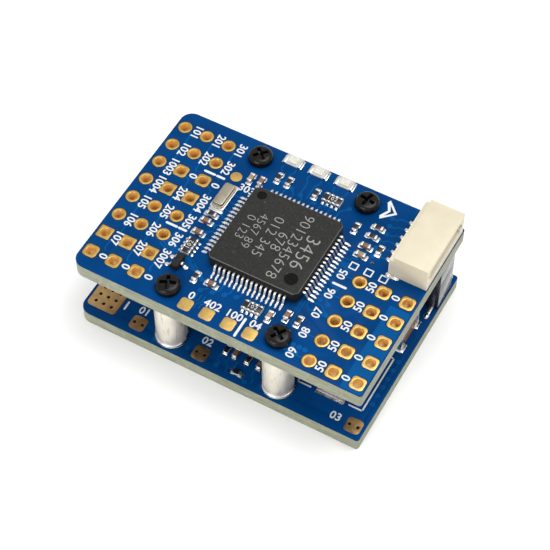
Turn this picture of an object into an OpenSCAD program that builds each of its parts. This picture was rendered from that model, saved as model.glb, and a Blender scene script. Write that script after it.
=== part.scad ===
// Flight controller stack: a power board below, a controller board above it on four soldered
// standoffs, joined by a pin header and held by four screws. Millimetres, +Z up.
// The origin is under the middle of the lower board, which stands on Z = 0. The servo wire
// pads and the wire connector are at the +X end, the lamps along the +Y edge.

/* [Boards] */
// Length of both boards along X
board_x = 31.5; // [31.3:0.1:33]
// Width of both boards along Y
board_y = 22; // [21.9:0.1:23]
// Thickness of the lower board
lower_t = 1.5; // [1.2:0.1:1.6]
// Thickness of the upper board
upper_t = 1.6; // [1.2:0.1:1.6]
// Clear height between the boards
gap = 6.4; // [6.2:0.1:8]
// Corner radius at the -X end
corner_left = 1.3; // [0.5:0.1:1.5]
// Corner radius at the +X end
corner_right = 0.3; // [0.2:0.1:1]

/* [Wire pads] */
// Distance between neighbouring wire holes
pitch = 2.54; // [2.5:0.02:2.54]
// Diameter of a plated wire hole
hole_d = 0.9; // [0.8:0.05:1.1]
// Width of a wire pad
pad_w = 1.45; // [1.4:0.05:1.6]
// Thickness of the copper on a board
copper_t = 0.04; // [0.03:0.01:0.07]
// Width of an edge pad
edge_pad_w = 1.35; // [1.2:0.05:1.5]

/* [Screws and standoffs] */
// Distance between screws along X
screw_dx = 12; // [11.8:0.1:12.2]
// Distance between screws along Y
screw_dy = 18; // [17.8:0.1:18.1]
// Outer diameter of a screw thread
screw_d = 1.6; // [1.4:0.1:1.6]
// Diameter of a screw head
head_d = 2.5; // [2.3:0.1:2.7]
// Height of a screw head
head_h = 0.95; // [0.8:0.05:1.1]
// Length of a screw below its head
screw_l = 5; // [4:0.5:5.5]
// Outer diameter of a standoff
standoff_d = 3.15; // [3:0.05:3.2]
// Clearance all round a screw in its standoff
thread_gap = 0.05; // [0.03:0.01:0.08]

/* [Processor] */
// Width of the processor body
mcu_w = 10; // [9.8:0.1:10]
// Height of the processor body
mcu_h = 1.4; // [1:0.1:1.5]
// Span over the processor leads
mcu_span = 12; // [11.8:0.1:12]
// Distance between processor leads
mcu_pitch = 0.5; // [0.5:0.1:0.5]
// Leads on each side of the processor
mcu_side = 16; // [12:1:16]

/* [Connectors] */
// Length of the wire connector along Y
plug_y = 8; // [7.8:0.1:8.1]
// Depth of the wire connector along X
plug_x = 4.1; // [3.9:0.1:4.2]
// Height of the wire connector
plug_h = 2.95; // [2.8:0.05:3.1]
// Wires the connector takes
plug_ways = 6; // [4:1:6]
// Pin pairs in the board to board header
header_pairs = 6; // [4:1:6]
// Distance between header pins
header_pitch = 1.27; // [1.2:0.01:1.27]
// Height of the header socket above the lower board
socket_h = 4.1; // [3.6:0.1:4.5]

/* [Hidden] */
$fn = 40;
lower_top = lower_t;
upper_bottom = lower_t + gap;
upper_top = upper_bottom + upper_t;
plating = 0.05;
barrel_d = hole_d + 2 * plating;
fit_gap = 0.01;
via_d = 0.35;
screw_places = [for (y = [1, -1], x = [-1, 1]) [x * screw_dx / 2, y * screw_dy / 2]];
screw_hole_d = screw_d + 0.2;
bore_d = screw_d + 2 * thread_gap;
bore_depth = 4.4;
// Corner shapes of the wire pads, row by row from the back: o round, r rounded, s square
left_first = [-14.745, 8.89];
left_shapes = ["ooo", "ooo", "orr", "oss", "ooo", "ooo", "sss", "rrr"];
right_first = [9.665, 0.383];
right_shapes = ["orr", "orr", "orr", "orr", "orr"];
edge_pad_places = [for (x = [-3.545, -1.225, 1.095, 3.405]) [x, -9.89]];
test_pad_place = [-7, 5.79];
test_pad_d = 1.2;
bare_via = [9.66, 2.94];
battery_pad_place = [-13.82, -8.335];
battery_pad_w = 3.25;
lower_pad_places = [[-9.545, -9.56], [-2.345, -9.61], [14.555, -9.61]];
lower_pad_w = 1.65;
// Processor
mcu_place = [0.76, 0];
mcu_lift = 0.1;
// Wire connector: its face with the mouth is at plug_front
plug_front = board_x / 2 - 0.09;
plug_mid = 6.54;
// Header: both halves share this outline, flush with the +X end of the boards
header_end = board_x / 2 - 0.1;
header_mid = 7.84;
header_w = 3;
header_l = header_pairs * header_pitch;
header_x = header_end - header_l / 2;
header_pin_w = 0.4;
header_hole_w = 0.5;
header_split = lower_top + socket_h + 0.02;
// Chip parts, each [x, y, turned], where turned = 1 lies along Y
chip = [1.0, 0.5];
resistor_h = 0.35;
capacitor_h = 0.5;
resistor_places = [[-3.2, 7.69, 1], [-2.05, 7.69, 1], [1, 7.69, 1], [-6.77, 0.49, 0],
    [6.36, 5.89, 1], [8.3, 6.89, 0], [8.26, 5.69, 0], [9.66, 4.54, 1], [-4.3, -6.7, 1],
    [6.75, -6.45, 1]];
brown_places = [[-4.45, 6.34, 1], [-6.77, -0.51, 0], [-6.77, -2.08, 0], [8.26, 4.29, 0],
    [-2.55, -6.8, 0], [5.55, -6.45, 1]];
tan_places = [[-5.55, 6.24, 1], [8.3, 3.14, 0], [4.1, -7.3, 1]];
array_places = [[2.8, 7.74, 0], [-6.65, -3.9, 1], [2.25, -7.3, 0]];
array_size = [2, 1, 0.45];
lower_resistor_places = [[-0.245, -8.01, 1], [2.155, -8.01, 1], [1.855, -9.91, 0],
    [-5.2, -6.2, 0], [-10.2, -3.4, 1]];
lower_capacitor_places = [[0.755, -8.01, 1], [3.455, -8.01, 1], [-3.6, -3.2, 1],
    [4.9, -3.4, 0]];
lamp_places = [for (x = [-2.9, -0.015, 2.9]) [x, 10.26]];
lamp_size = [2, 1.25];
crystal_place = [-6.7, 2.89];
transistor_place = [-6.6, -6.2];
// Power parts, centre and size of each body
inductor_place = [11.055, -4.36];
inductor_size = [6, 6.2, 2.8];
bulk_place = [13.4, 2.15];
bulk_size = [3.8, 2.5, 2.3];
filter_places = [[-1.6, 4.7, 0], [2.6, 4.7, 0], [-12.2, -2.2, 1], [-9.9, 8.4, 0]];
filter_size = [3.2, 1.6, 1.6];
shunt_place = [-12.6, 4];
shunt_size = [6.3, 3.2, 0.6];
coil_place = [-7.2, 2.6];
coil_size = [4, 4, 2];
regulator_places = [[-7.2, -2.2], [1.2, -1.8]];
diode_places = [[-1.8, -5, 0], [4.6, 1.4, 1]];
diode_size = [2.7, 1.8, 1.1];
// Parts under the upper board
osd_place = [-2.5, 3.4];
osd_size = [9.7, 4.4, 1];
osd_side = 14;
memory_place = [3.4, -4.2];
memory_size = [6, 5, 0.8];
gyro_place = [-5.4, -4.4];
gyro_size = [3, 3, 0.95];
barometer_place = [-0.95, -9.2];
barometer_size = [1.6, 2.2, 0.8];

// ---- Shared shapes ----

// A flat rectangle with round corners, made of squares and circles
module rounded_rect(x, y, r) {
    square([x - 2 * r, y], center = true);
    square([x, y - 2 * r], center = true);
    for (i = [-1, 1], j = [-1, 1])
        translate([i * (x / 2 - r), j * (y / 2 - r)]) circle(r = r);
}

// The outline both boards share
module board_outline() {
    x = board_x / 2;
    y = board_y / 2;
    translate([corner_left - x, -y]) square([2 * x - corner_left - corner_right, 2 * y]);
    translate([-x, corner_left - y]) square([corner_left, 2 * (y - corner_left)]);
    translate([x - corner_right, corner_right - y])
        square([corner_right, 2 * (y - corner_right)]);
    for (j = [-1, 1]) {
        translate([corner_left - x, j * (y - corner_left)]) circle(r = corner_left);
        translate([x - corner_right, j * (y - corner_right)]) circle(r = corner_right);
    }
}

// A box standing on z, centred on x and y
module block(size, z = 0) {
    translate([-size[0] / 2, -size[1] / 2, z]) cube(size);
}

// A chip part's place: [x, y, turned] on a board face at z
module at(place, z) {
    translate([place[0], place[1], z]) rotate([0, 0, place[2] == 1 ? 90 : 0]) children();
}

// The body of a two-ended chip part lying along X, between its ends
module chip_body(size, end) {
    block([size[0] - 2 * end, size[1] - 0.04, size[2] - 0.04], 0.02);
}

// The two metal ends of a chip part
module chip_ends_of(size, end) {
    for (i = [-1, 1])
        translate([i * (size[0] - end) / 2, 0, 0]) block([end, size[1], size[2]]);
}

// A bent lead that leaves a body at height z, reaches out by run and stands on z = 0
module gull_lead(run, z, t, w) {
    rotate([90, 0, 0]) linear_extrude(w, center = true)
        polygon([[0, z], [0.3 * run, z], [0.55 * run, t], [run, t], [run, 0],
            [0.48 * run, 0], [0.22 * run, z - t], [0, z - t]]);
}

// Corner radius of a pad from its letter
function pad_corner(letter, w) = letter == "o" ? w / 2 - 0.001 : letter == "r" ? 0.4 : 0.12;

// Every pad of a block of wire pads, with its letter passed to the children
module wire_block(first, shapes) {
    for (row = [0:len(shapes) - 1], col = [0:2]) {
        $letter = shapes[row][col];
        translate([first[0] + col * pitch, first[1] - row * pitch, 0]) children();
    }
}

// One plated wire pad through the upper board
module eyelet(letter) {
    difference() {
        union() {
            for (z = [upper_bottom - copper_t, upper_top])
                translate([0, 0, z]) linear_extrude(copper_t)
                    rounded_rect(pad_w, pad_w, pad_corner(letter, pad_w));
            translate([0, 0, upper_bottom]) cylinder(d = barrel_d, h = upper_t);
        }
        translate([0, 0, upper_bottom - 1]) cylinder(d = hole_d, h = upper_t + 2);
    }
}

// ---- Power board ----

module battery_vias() {
    for (i = [-1:1], j = [-1:1]) translate([i * 0.9, j * 0.9, 0]) children();
}

module wire_vias() {
    for (i = [-1, 1]) translate([i * 0.45, 0, 0]) children();
}

module lower_pcb() {
    color("#0b5d92") difference() {
        linear_extrude(lower_t) board_outline();
        translate([battery_pad_place[0], battery_pad_place[1], -1])
            battery_vias() cylinder(d = via_d, h = lower_t + 2);
        for (p = lower_pad_places)
            translate([p[0], p[1], -1]) wire_vias() cylinder(d = via_d, h = lower_t + 2);
        underside_pad_shapes(1);
    }
}

// Pads sunk flush into the lower face; extra cuts a little past the face
module underside_pad_shapes(extra) {
    translate([battery_pad_place[0], battery_pad_place[1], -extra])
        linear_extrude(copper_t + extra) rounded_rect(battery_pad_w, battery_pad_w, 0.4);
    for (p = lower_pad_places)
        translate([p[0], p[1], -extra])
            linear_extrude(copper_t + extra) rounded_rect(lower_pad_w, lower_pad_w, 0.4);
}

module underside_pads() {
    color("#aa7a42") difference() {
        underside_pad_shapes(0);
        translate([battery_pad_place[0], battery_pad_place[1], -1])
            battery_vias() cylinder(d = via_d, h = 2);
        for (p = lower_pad_places)
            translate([p[0], p[1], -1]) wire_vias() cylinder(d = via_d, h = 2);
    }
}

module battery_pad() {
    color("#aa7a42") translate([battery_pad_place[0], battery_pad_place[1], lower_top])
        difference() {
            linear_extrude(copper_t) rounded_rect(battery_pad_w, battery_pad_w, 0.4);
            translate([0, 0, -1]) battery_vias() cylinder(d = via_d, h = 2);
        }
}

module lower_wire_pads() {
    color("#aa7a42") for (p = lower_pad_places)
        translate([p[0], p[1], lower_top]) difference() {
            linear_extrude(copper_t) rounded_rect(lower_pad_w, lower_pad_w, 0.4);
            translate([0, 0, -1]) wire_vias() cylinder(d = via_d, h = 2);
        }
}

module standoffs() {
    color("#e6e1d7") for (p = screw_places)
        translate([p[0], p[1], lower_top]) difference() {
            cylinder(d = standoff_d, h = gap);
            translate([0, 0, gap - bore_depth]) cylinder(d = bore_d, h = bore_depth + 1);
        }
}

// A hollow-sided ring of solder round the foot of each standoff
module standoff_solder() {
    ring = 0.36;
    steps = 6;
    inner = standoff_d / 2 + fit_gap;
    arc = [for (i = [0:steps]) let (a = 90 * i / steps)
        [inner + ring * (1 - sin(a)) + 0.02, ring * (1 - cos(a)) + 0.02]];
    color("#cfd2d2") for (p = screw_places)
        translate([p[0], p[1], lower_top])
            rotate_extrude() polygon(concat([[inner, 0], [inner + ring + 0.02, 0]], arc,
                [[inner, ring + 0.02]]));
}

// Each header position: centre of a pin, and its side of the header
module header_places() {
    for (i = [0:header_pairs - 1], side = [-1, 1])
        translate([header_end - (i + 0.5) * header_pitch, header_mid, 0])
            scale([1, side, 1]) children();
}

module header_contacts() {
    color("#d8d8d4") translate([0, 0, lower_top]) header_places() {
        translate([-0.2, header_pitch / 2 + 0.22, 0]) cube([0.4, 2.1, 0.15]);
        translate([-0.2, header_pitch / 2 + 0.22, 0]) cube([0.4, 0.12, 3.4]);
    }
}

module header_socket() {
    color("#1c1b1c") difference() {
        translate([header_x, header_mid, lower_top])
            block([header_l, header_w, socket_h]);
        header_contacts();
        header_places()
            translate([-header_hole_w / 2, (header_pitch - header_hole_w) / 2, lower_top + 0.9])
                cube([header_hole_w, header_hole_w, socket_h]);
    }
}

module power_inductor() {
    color("#4a4a4c") translate([inductor_place[0], inductor_place[1], lower_top + 0.15])
        linear_extrude(inductor_size[2]) rounded_rect(inductor_size[0], inductor_size[1], 0.4);
}

// A bent metal strap up both Y sides of a moulded part
module side_straps(size, strap_w, strap_h, foot) {
    for (side = [-1, 1]) scale([1, side, 1]) {
        translate([-strap_w / 2, size[1] / 2, 0]) cube([strap_w, 0.12, strap_h]);
        translate([-strap_w / 2, size[1] / 2, 0]) cube([strap_w, foot, 0.15]);
    }
}

module inductor_terminals() {
    color("#d9dad6") translate([inductor_place[0], inductor_place[1], lower_top])
        side_straps(inductor_size, 3.1, 1.7, 0.65);
}

module bulk_capacitor() {
    color("#a9825e") translate([bulk_place[0], bulk_place[1], lower_top])
        rotate([0, 0, 90]) chip_body(bulk_size, 0.5);
}

module bulk_capacitor_ends() {
    color("#d9dad6") translate([bulk_place[0], bulk_place[1], lower_top])
        rotate([0, 0, 90]) chip_ends_of(bulk_size, 0.5);
}

module filter_capacitors() {
    color("#a9825e") for (p = filter_places) at(p, lower_top) chip_body(filter_size, 0.5);
}

module filter_capacitor_ends() {
    color("#d9dad6") for (p = filter_places) at(p, lower_top) chip_ends_of(filter_size, 0.5);
}

module current_shunt() {
    color("#202022") translate([shunt_place[0], shunt_place[1], lower_top])
        rotate([0, 0, 90]) chip_body(shunt_size, 1.1);
}

module shunt_ends() {
    color("#d9dad6") translate([shunt_place[0], shunt_place[1], lower_top])
        rotate([0, 0, 90]) chip_ends_of(shunt_size, 1.1);
}

module small_inductor() {
    color("#3f3f41") translate([coil_place[0], coil_place[1], lower_top + 0.15])
        linear_extrude(coil_size[2]) rounded_rect(coil_size[0], coil_size[1], 0.3);
}

module small_inductor_terminals() {
    color("#d9dad6") translate([coil_place[0], coil_place[1], lower_top])
        side_straps(coil_size, 1.8, 1.2, 0.45);
}

module regulator_chips() {
    color("#232325") for (p = regulator_places)
        translate([p[0], p[1], lower_top]) block([2.9, 1.6, 1.0], 0.1);
}

module regulator_leads() {
    color("#d8d8d4") for (p = regulator_places, i = [-1:1], side = [-1, 1])
        translate([p[0] + i * 0.95, p[1], lower_top]) rotate([0, 0, side * 90])
            translate([0.8, 0, 0]) gull_lead(0.6, 0.65, 0.12, 0.35);
}

module diodes() {
    color("#262628") for (p = diode_places) at(p, lower_top)
        block([diode_size[0], diode_size[1], diode_size[2] - 0.05], 0.05);
}

module diode_terminals() {
    color("#d8d8d4") for (p = diode_places) at(p, lower_top) for (side = [0, 180])
        rotate([0, 0, side]) translate([diode_size[0] / 2, 0, 0])
            gull_lead(0.6, 0.6, 0.15, 1);
}

module lower_resistors() {
    color("#1d1d1e") for (p = lower_resistor_places) at(p, lower_top)
        chip_body([chip[0], chip[1], resistor_h], 0.25);
}

module lower_capacitors() {
    color("#8a6a4a") for (p = lower_capacitor_places) at(p, lower_top)
        chip_body([chip[0], chip[1], capacitor_h], 0.25);
}

module lower_chip_ends() {
    color("#dcdcd8") {
        for (p = lower_resistor_places) at(p, lower_top)
            chip_ends_of([chip[0], chip[1], resistor_h], 0.25);
        for (p = lower_capacitor_places) at(p, lower_top)
            chip_ends_of([chip[0], chip[1], capacitor_h], 0.25);
    }
}

// ---- Controller board ----

module upper_pcb() {
    color("#05588f") difference() {
        translate([0, 0, upper_bottom]) linear_extrude(upper_t) board_outline();
        translate([0, 0, upper_bottom - 1]) {
            for (p = screw_places)
                translate([p[0], p[1], 0]) cylinder(d = screw_hole_d, h = upper_t + 2);
            wire_block(left_first, left_shapes)
                cylinder(d = barrel_d + 2 * fit_gap, h = upper_t + 2);
            wire_block(right_first, right_shapes)
                cylinder(d = barrel_d + 2 * fit_gap, h = upper_t + 2);
            translate([bare_via[0], bare_via[1], 0]) cylinder(d = via_d, h = upper_t + 2);
        }
    }
}

module hole_pads_left() {
    color("#e0a850") wire_block(left_first, left_shapes) eyelet($letter);
}

module hole_pads_right() {
    color("#e0a850") wire_block(right_first, right_shapes) eyelet($letter);
}

module edge_pads() {
    color("#e0a850") for (p = edge_pad_places)
        translate([p[0], p[1], upper_top]) linear_extrude(copper_t)
            rounded_rect(edge_pad_w, edge_pad_w, 0.3);
}

module test_pad() {
    color("#e0a850") translate([test_pad_place[0], test_pad_place[1], upper_top])
        cylinder(d = test_pad_d, h = copper_t);
}

// Side profile of the processor body: widest at the line where its two mould halves met
module mcu_profile() {
    rotate([90, 0, 0]) linear_extrude(2 * mcu_w, center = true) polygon([
        [-mcu_w / 2 + 0.14, mcu_lift], [mcu_w / 2 - 0.14, mcu_lift],
        [mcu_w / 2, mcu_lift + mcu_h / 2], [mcu_w / 2 - 0.14, mcu_lift + mcu_h],
        [-mcu_w / 2 + 0.14, mcu_lift + mcu_h], [-mcu_w / 2, mcu_lift + mcu_h / 2]]);
}

// Mould marks on the processor, each [x, y, diameter]
mould_marks = [[-3.8, 4, 1], [3.5, -3.4, 1.4]];

module mcu_body() {
    side = mcu_w - 1.2;
    color("#3b3b39") translate([mcu_place[0], mcu_place[1], upper_top]) difference() {
        intersection() {
            mcu_profile();
            rotate([0, 0, 90]) mcu_profile();
            linear_extrude(3) polygon([
                [-mcu_w / 2, -side / 2], [-side / 2, -mcu_w / 2], [side / 2, -mcu_w / 2],
                [mcu_w / 2, -side / 2], [mcu_w / 2, side / 2], [side / 2, mcu_w / 2],
                [-side / 2, mcu_w / 2], [-mcu_w / 2, side / 2]]);
        }
        for (m = mould_marks)
            translate([m[0], m[1], mcu_lift + mcu_h - 0.06]) cylinder(d = m[2], h = 1);
    }
}

module mcu_leads() {
    run = (mcu_span - mcu_w) / 2;
    color("#d8d8d4") translate([mcu_place[0], mcu_place[1], upper_top])
        for (turn = [0:90:270], i = [0:mcu_side - 1])
            rotate([0, 0, turn]) translate([mcu_w / 2, (i - (mcu_side - 1) / 2) * mcu_pitch, 0])
                gull_lead(run, mcu_lift + mcu_h / 2 + 0.06, 0.13, 0.22);
}

module crystal_base() {
    color("#b9b2a4") translate([crystal_place[0], crystal_place[1], upper_top])
        linear_extrude(0.3) rounded_rect(1.5, 3.2, 0.1);
}

module crystal_can() {
    color("#a49a8b") translate([crystal_place[0], crystal_place[1], upper_top + 0.3])
        linear_extrude(0.5) rounded_rect(1.3, 3, 0.2);
}

module resistors() {
    color("#1d1d1e") for (p = resistor_places) at(p, upper_top)
        chip_body([chip[0], chip[1], resistor_h], 0.25);
}

module brown_capacitors() {
    color("#9c6b45") for (p = brown_places) at(p, upper_top)
        chip_body([chip[0], chip[1], capacitor_h], 0.25);
}

module tan_capacitors() {
    color("#b9a17c") for (p = tan_places) at(p, upper_top)
        chip_body([chip[0], chip[1], capacitor_h], 0.25);
}

module chip_ends() {
    color("#dcdcd8") {
        for (p = resistor_places) at(p, upper_top)
            chip_ends_of([chip[0], chip[1], resistor_h], 0.25);
        for (p = concat(brown_places, tan_places)) at(p, upper_top)
            chip_ends_of([chip[0], chip[1], capacitor_h], 0.25);
    }
}

// Each of the four terminals on both long sides of a resistor array
module array_terminal_shapes() {
    for (i = [-1.5:1.5], side = [-1, 1])
        translate([i * 0.5, side * (array_size[1] / 2 - 0.1), 0])
            block([0.3, 0.2, array_size[2]]);
}

module resistor_arrays() {
    color("#1d1d1e") for (p = array_places) at(p, upper_top) difference() {
        block([array_size[0], array_size[1] - 0.04, array_size[2] - 0.04], 0.02);
        array_terminal_shapes();
    }
}

module array_terminals() {
    color("#dcdcd8") for (p = array_places) at(p, upper_top) array_terminal_shapes();
}

module transistor_body() {
    color("#242426") translate([transistor_place[0], transistor_place[1], upper_top])
        block([0.85, 1.6, 0.7], 0.08);
}

module transistor_leads() {
    color("#d8d8d4") translate([transistor_place[0], transistor_place[1], upper_top]) {
        translate([0.425, 0, 0]) gull_lead(0.5, 0.45, 0.11, 0.28);
        for (side = [-1, 1])
            translate([-0.425, side * 0.5, 0]) rotate([0, 0, 180])
                gull_lead(0.5, 0.45, 0.11, 0.28);
    }
}

module lamp_bases() {
    color("#f2f0ea") for (p = lamp_places)
        translate([p[0], p[1], upper_top]) block([lamp_size[0] - 0.4, lamp_size[1], 0.3]);
}

module lamp_lenses() {
    color("#f6eecb") for (p = lamp_places)
        translate([p[0], p[1], upper_top + 0.3])
            block([lamp_size[0] - 0.8, lamp_size[1] - 0.35, 0.22]);
}

module lamp_terminals() {
    color("#e4e0d2") for (p = lamp_places)
        translate([p[0], p[1], upper_top])
            chip_ends_of([lamp_size[0], lamp_size[1], 0.32], 0.2);
}

// Wire connector: the foot, the riser and the pin of one contact, pin pointing to +X
module contact_shape() {
    back = plug_front - plug_x;
    translate([back - 0.9, -0.15, upper_top]) cube([0.9 + 0.3, 0.3, 0.2]);
    translate([back + 0.1, -0.15, upper_top]) cube([0.2, 0.3, 1.5]);
    translate([back + 0.1, -0.15, upper_top + 1.3]) cube([plug_x - 1.1, 0.3, 0.2]);
}

module connector_contacts() {
    color("#d8d8d4") for (i = [0:plug_ways - 1])
        translate([0, plug_mid + i - (plug_ways - 1) / 2, 0]) contact_shape();
}

// Metal anchors let into both ends of the connector
module connector_tabs() {
    back = plug_front - plug_x;
    color("#bdbcb6") for (side = [-1, 1])
        translate([back + 0.25, plug_mid, upper_top]) scale([1, side, 1])
            translate([0, plug_y / 2 - 0.25, 0]) {
                cube([0.9, 0.2, 1.9]);
                cube([0.9, 0.68, 0.2]);
            }
}

module connector_housing() {
    back = plug_front - plug_x;
    mouth = plug_y - 1.4;
    color("#f6ecd2") difference() {
        union() {
            translate([back, plug_mid - plug_y / 2, upper_top])
                cube([plug_x, plug_y, plug_h - 0.55]);
            translate([back + 0.5, plug_mid - plug_y / 2, upper_top])
                cube([plug_x - 0.5, plug_y, plug_h]);
        }
        translate([back + 1.0, plug_mid - mouth / 2, upper_top + 0.75])
            cube([plug_x, mouth, 1.55]);
        translate([plug_front - 1.6, plug_mid - plug_y / 2 + 0.35, upper_top + 1.15])
            cube([2, plug_y - 0.7, 0.75]);
        connector_contacts();
        connector_tabs();
    }
}

module header_pins() {
    color("#d9b56a") header_places() {
        translate([-header_pin_w / 2, (header_pitch - header_pin_w) / 2, lower_top + 1.2])
            cube([header_pin_w, header_pin_w, upper_bottom - lower_top - 1.2]);
        translate([-header_pin_w / 2, (header_pitch - header_pin_w) / 2, upper_bottom - 0.2])
            cube([header_pin_w, 1.9, 0.2]);
    }
}

module header_plug() {
    color("#1c1b1c") difference() {
        translate([header_x, header_mid, header_split])
            block([header_l, header_w, upper_bottom - header_split]);
        header_pins();
    }
}

module osd_chip() {
    color("#2b2b2d") translate([osd_place[0], osd_place[1], upper_bottom - 0.1 - osd_size[2]])
        block(osd_size);
}

module osd_leads() {
    color("#d8d8d4") translate([osd_place[0], osd_place[1], upper_bottom])
        for (side = [-1, 1], i = [0:osd_side - 1])
            translate([(i - (osd_side - 1) / 2) * 0.65, side * osd_size[1] / 2, 0])
                mirror([0, 0, 1]) rotate([0, 0, side * 90]) gull_lead(1, 0.65, 0.12, 0.25);
}

module memory_chip() {
    color("#2b2b2d")
        translate([memory_place[0], memory_place[1], upper_bottom - memory_size[2]])
            block(memory_size);
}

module gyro_chip() {
    color("#2b2b2d") translate([gyro_place[0], gyro_place[1], upper_bottom - gyro_size[2]])
        block(gyro_size);
}

module barometer_base() {
    color("#e5dcc4")
        translate([barometer_place[0], barometer_place[1], upper_bottom - 0.3])
            block([barometer_size[0], barometer_size[1], 0.3]);
}

module barometer_lid() {
    lid_h = barometer_size[2] - 0.3;
    color("#b8b8b4")
        translate([barometer_place[0], barometer_place[1], upper_bottom - 0.3 - lid_h])
            difference() {
                linear_extrude(lid_h)
                    rounded_rect(barometer_size[0] - 0.1, barometer_size[1] - 0.1, 0.2);
                translate([0.35, 0.6, -1]) cylinder(d = 0.3, h = 1.3);
            }
}

// A pan head screw with a cross recess; its thread is a plain round
module screw(place) {
    dome = head_d * 0.95;
    color("#26241f") translate([place[0], place[1], upper_top]) {
        translate([0, 0, -screw_l]) cylinder(d = screw_d, h = screw_l);
        difference() {
            intersection() {
                cylinder(d = head_d, h = head_h);
                translate([0, 0, head_h - dome]) sphere(r = dome, $fn = 80);
            }
            for (turn = [0, 90]) rotate([0, 0, turn])
                translate([-0.78, -0.19, head_h - 0.6]) cube([1.56, 0.38, 1]);
        }
    }
}

module screw_1() { screw(screw_places[0]); }
module screw_2() { screw(screw_places[1]); }
module screw_3() { screw(screw_places[2]); }
module screw_4() { screw(screw_places[3]); }

lower_pcb();
lower_wire_pads();
battery_pad();
underside_pads();
standoffs();
standoff_solder();
header_socket();
header_contacts();
power_inductor();
inductor_terminals();
bulk_capacitor();
bulk_capacitor_ends();
filter_capacitors();
filter_capacitor_ends();
current_shunt();
shunt_ends();
small_inductor();
small_inductor_terminals();
regulator_chips();
regulator_leads();
diodes();
diode_terminals();
lower_resistors();
lower_capacitors();
lower_chip_ends();
upper_pcb();
hole_pads_left();
hole_pads_right();
edge_pads();
test_pad();
mcu_body();
mcu_leads();
crystal_can();
crystal_base();
resistors();
brown_capacitors();
tan_capacitors();
chip_ends();
resistor_arrays();
array_terminals();
transistor_body();
transistor_leads();
lamp_bases();
lamp_lenses();
lamp_terminals();
connector_housing();
connector_contacts();
connector_tabs();
header_plug();
header_pins();
osd_chip();
osd_leads();
memory_chip();
gyro_chip();
barometer_base();
barometer_lid();
screw_1();
screw_2();
screw_3();
screw_4();
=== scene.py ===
"""Looks of a flight controller stack: two circuit boards, their parts, and a pale studio."""
import math

import bmesh
import bpy
from bpy.props import FloatProperty, FloatVectorProperty, PointerProperty
from mathutils import Matrix, Vector


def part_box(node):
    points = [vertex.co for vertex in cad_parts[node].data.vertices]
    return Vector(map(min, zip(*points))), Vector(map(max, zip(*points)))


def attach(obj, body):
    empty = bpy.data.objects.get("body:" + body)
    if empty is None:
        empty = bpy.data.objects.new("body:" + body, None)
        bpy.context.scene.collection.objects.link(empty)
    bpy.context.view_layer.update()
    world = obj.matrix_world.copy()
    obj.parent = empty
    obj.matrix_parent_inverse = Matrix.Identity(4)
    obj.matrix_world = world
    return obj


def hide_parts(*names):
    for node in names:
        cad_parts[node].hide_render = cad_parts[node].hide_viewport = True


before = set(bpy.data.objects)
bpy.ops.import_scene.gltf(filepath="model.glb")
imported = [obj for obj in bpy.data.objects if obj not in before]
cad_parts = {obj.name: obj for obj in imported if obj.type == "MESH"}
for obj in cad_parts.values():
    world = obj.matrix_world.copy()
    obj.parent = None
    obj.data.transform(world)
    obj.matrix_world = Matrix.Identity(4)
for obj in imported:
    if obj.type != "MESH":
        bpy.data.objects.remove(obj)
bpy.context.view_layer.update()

bl_info = {
    "name": "Flight controller stack",
    "version": (1, 0, 0),
    "blender": (4, 5, 0),
    "location": "View3D > Sidebar > Flight controller",
    "description": "Builds the boards, parts and studio of a flight controller stack",
    "category": "Object",
}

MM = 0.001
POWER = "power_board"
CONTROL = "controller_board"

# Counts, spacings and sizes that come with the standard parts; lengths are in millimetres
WIRE_PITCH = 2.54
WIRE_PAD = 1.45
WIRE_HOLE = 0.9
LEAD_PITCH = 0.5
LEADS_PER_SIDE = 16
LEAD_THICK = 0.13
LEAD_WIDTH = 0.22
CONTACTS = 6
CONTACT_PITCH = 1.0
VIA_PITCH = 0.9
ARRAY_PITCH = 0.5


# ---- Frame lookups, in millimetres ----

def box_mm(node):
    """Lowest and highest corner of a CAD node."""
    low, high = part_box(node)
    return low / MM, high / MM


def middle(box):
    """Centre of a box given by its two corners."""
    return (box[0] + box[1]) / 2


def solids(node):
    """Lowest and highest corner of each separate solid of a CAD node, in millimetres."""
    bm = bmesh.new()
    bm.from_mesh(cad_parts[node].data)
    bmesh.ops.remove_doubles(bm, verts=bm.verts, dist=0.002 * MM)
    found, seen = [], set()
    for start in bm.verts:
        if start in seen:
            continue
        group, todo = [], [start]
        seen.add(start)
        while todo:
            vert = todo.pop()
            group.append(vert.co / MM)
            for edge in vert.link_edges:
                other = edge.other_vert(vert)
                if other not in seen:
                    seen.add(other)
                    todo.append(other)
        low = Vector([min(co[i] for co in group) for i in range(3)])
        high = Vector([max(co[i] for co in group) for i in range(3)])
        found.append((low, high))
    bm.free()
    return sorted(found, key=lambda b: (-round(middle(b).y, 1), round(middle(b).x, 1)))


# ---- User values ----

def colour_prop(name, description, default):
    """A colour that the user can set."""
    return FloatVectorProperty(name=name, description=description, default=default,
                               subtype="COLOR", min=0.0, max=1.0)


def size_prop(name, description, default):
    """A number from zero up that the user can set."""
    return FloatProperty(name=name, description=description, default=default, min=0.0)


class BoardLooks(bpy.types.PropertyGroup):
    """Colours and sizes of the bare boards"""
    mask: colour_prop("Solder mask", "Blue of the bare boards", (0.0006, 0.045, 0.175))
    mask_on_copper: colour_prop("Mask on copper", "Blue over copper", (0.0015, 0.076, 0.25))
    edge: colour_prop("Board edge", "Glass epoxy at the cut edges", (0.27, 0.285, 0.2))
    ink: colour_prop("Printed ink", "White print on the boards", (0.7, 0.72, 0.73))
    ink_height: size_prop("Ink height", "Thickness of the print in mm", 0.022)
    digit_height: size_prop("Digit height", "Height of the printed numbers in mm", 0.86)
    trace_width: size_prop("Trace width", "Width of a copper trace in mm", 0.16)


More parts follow.
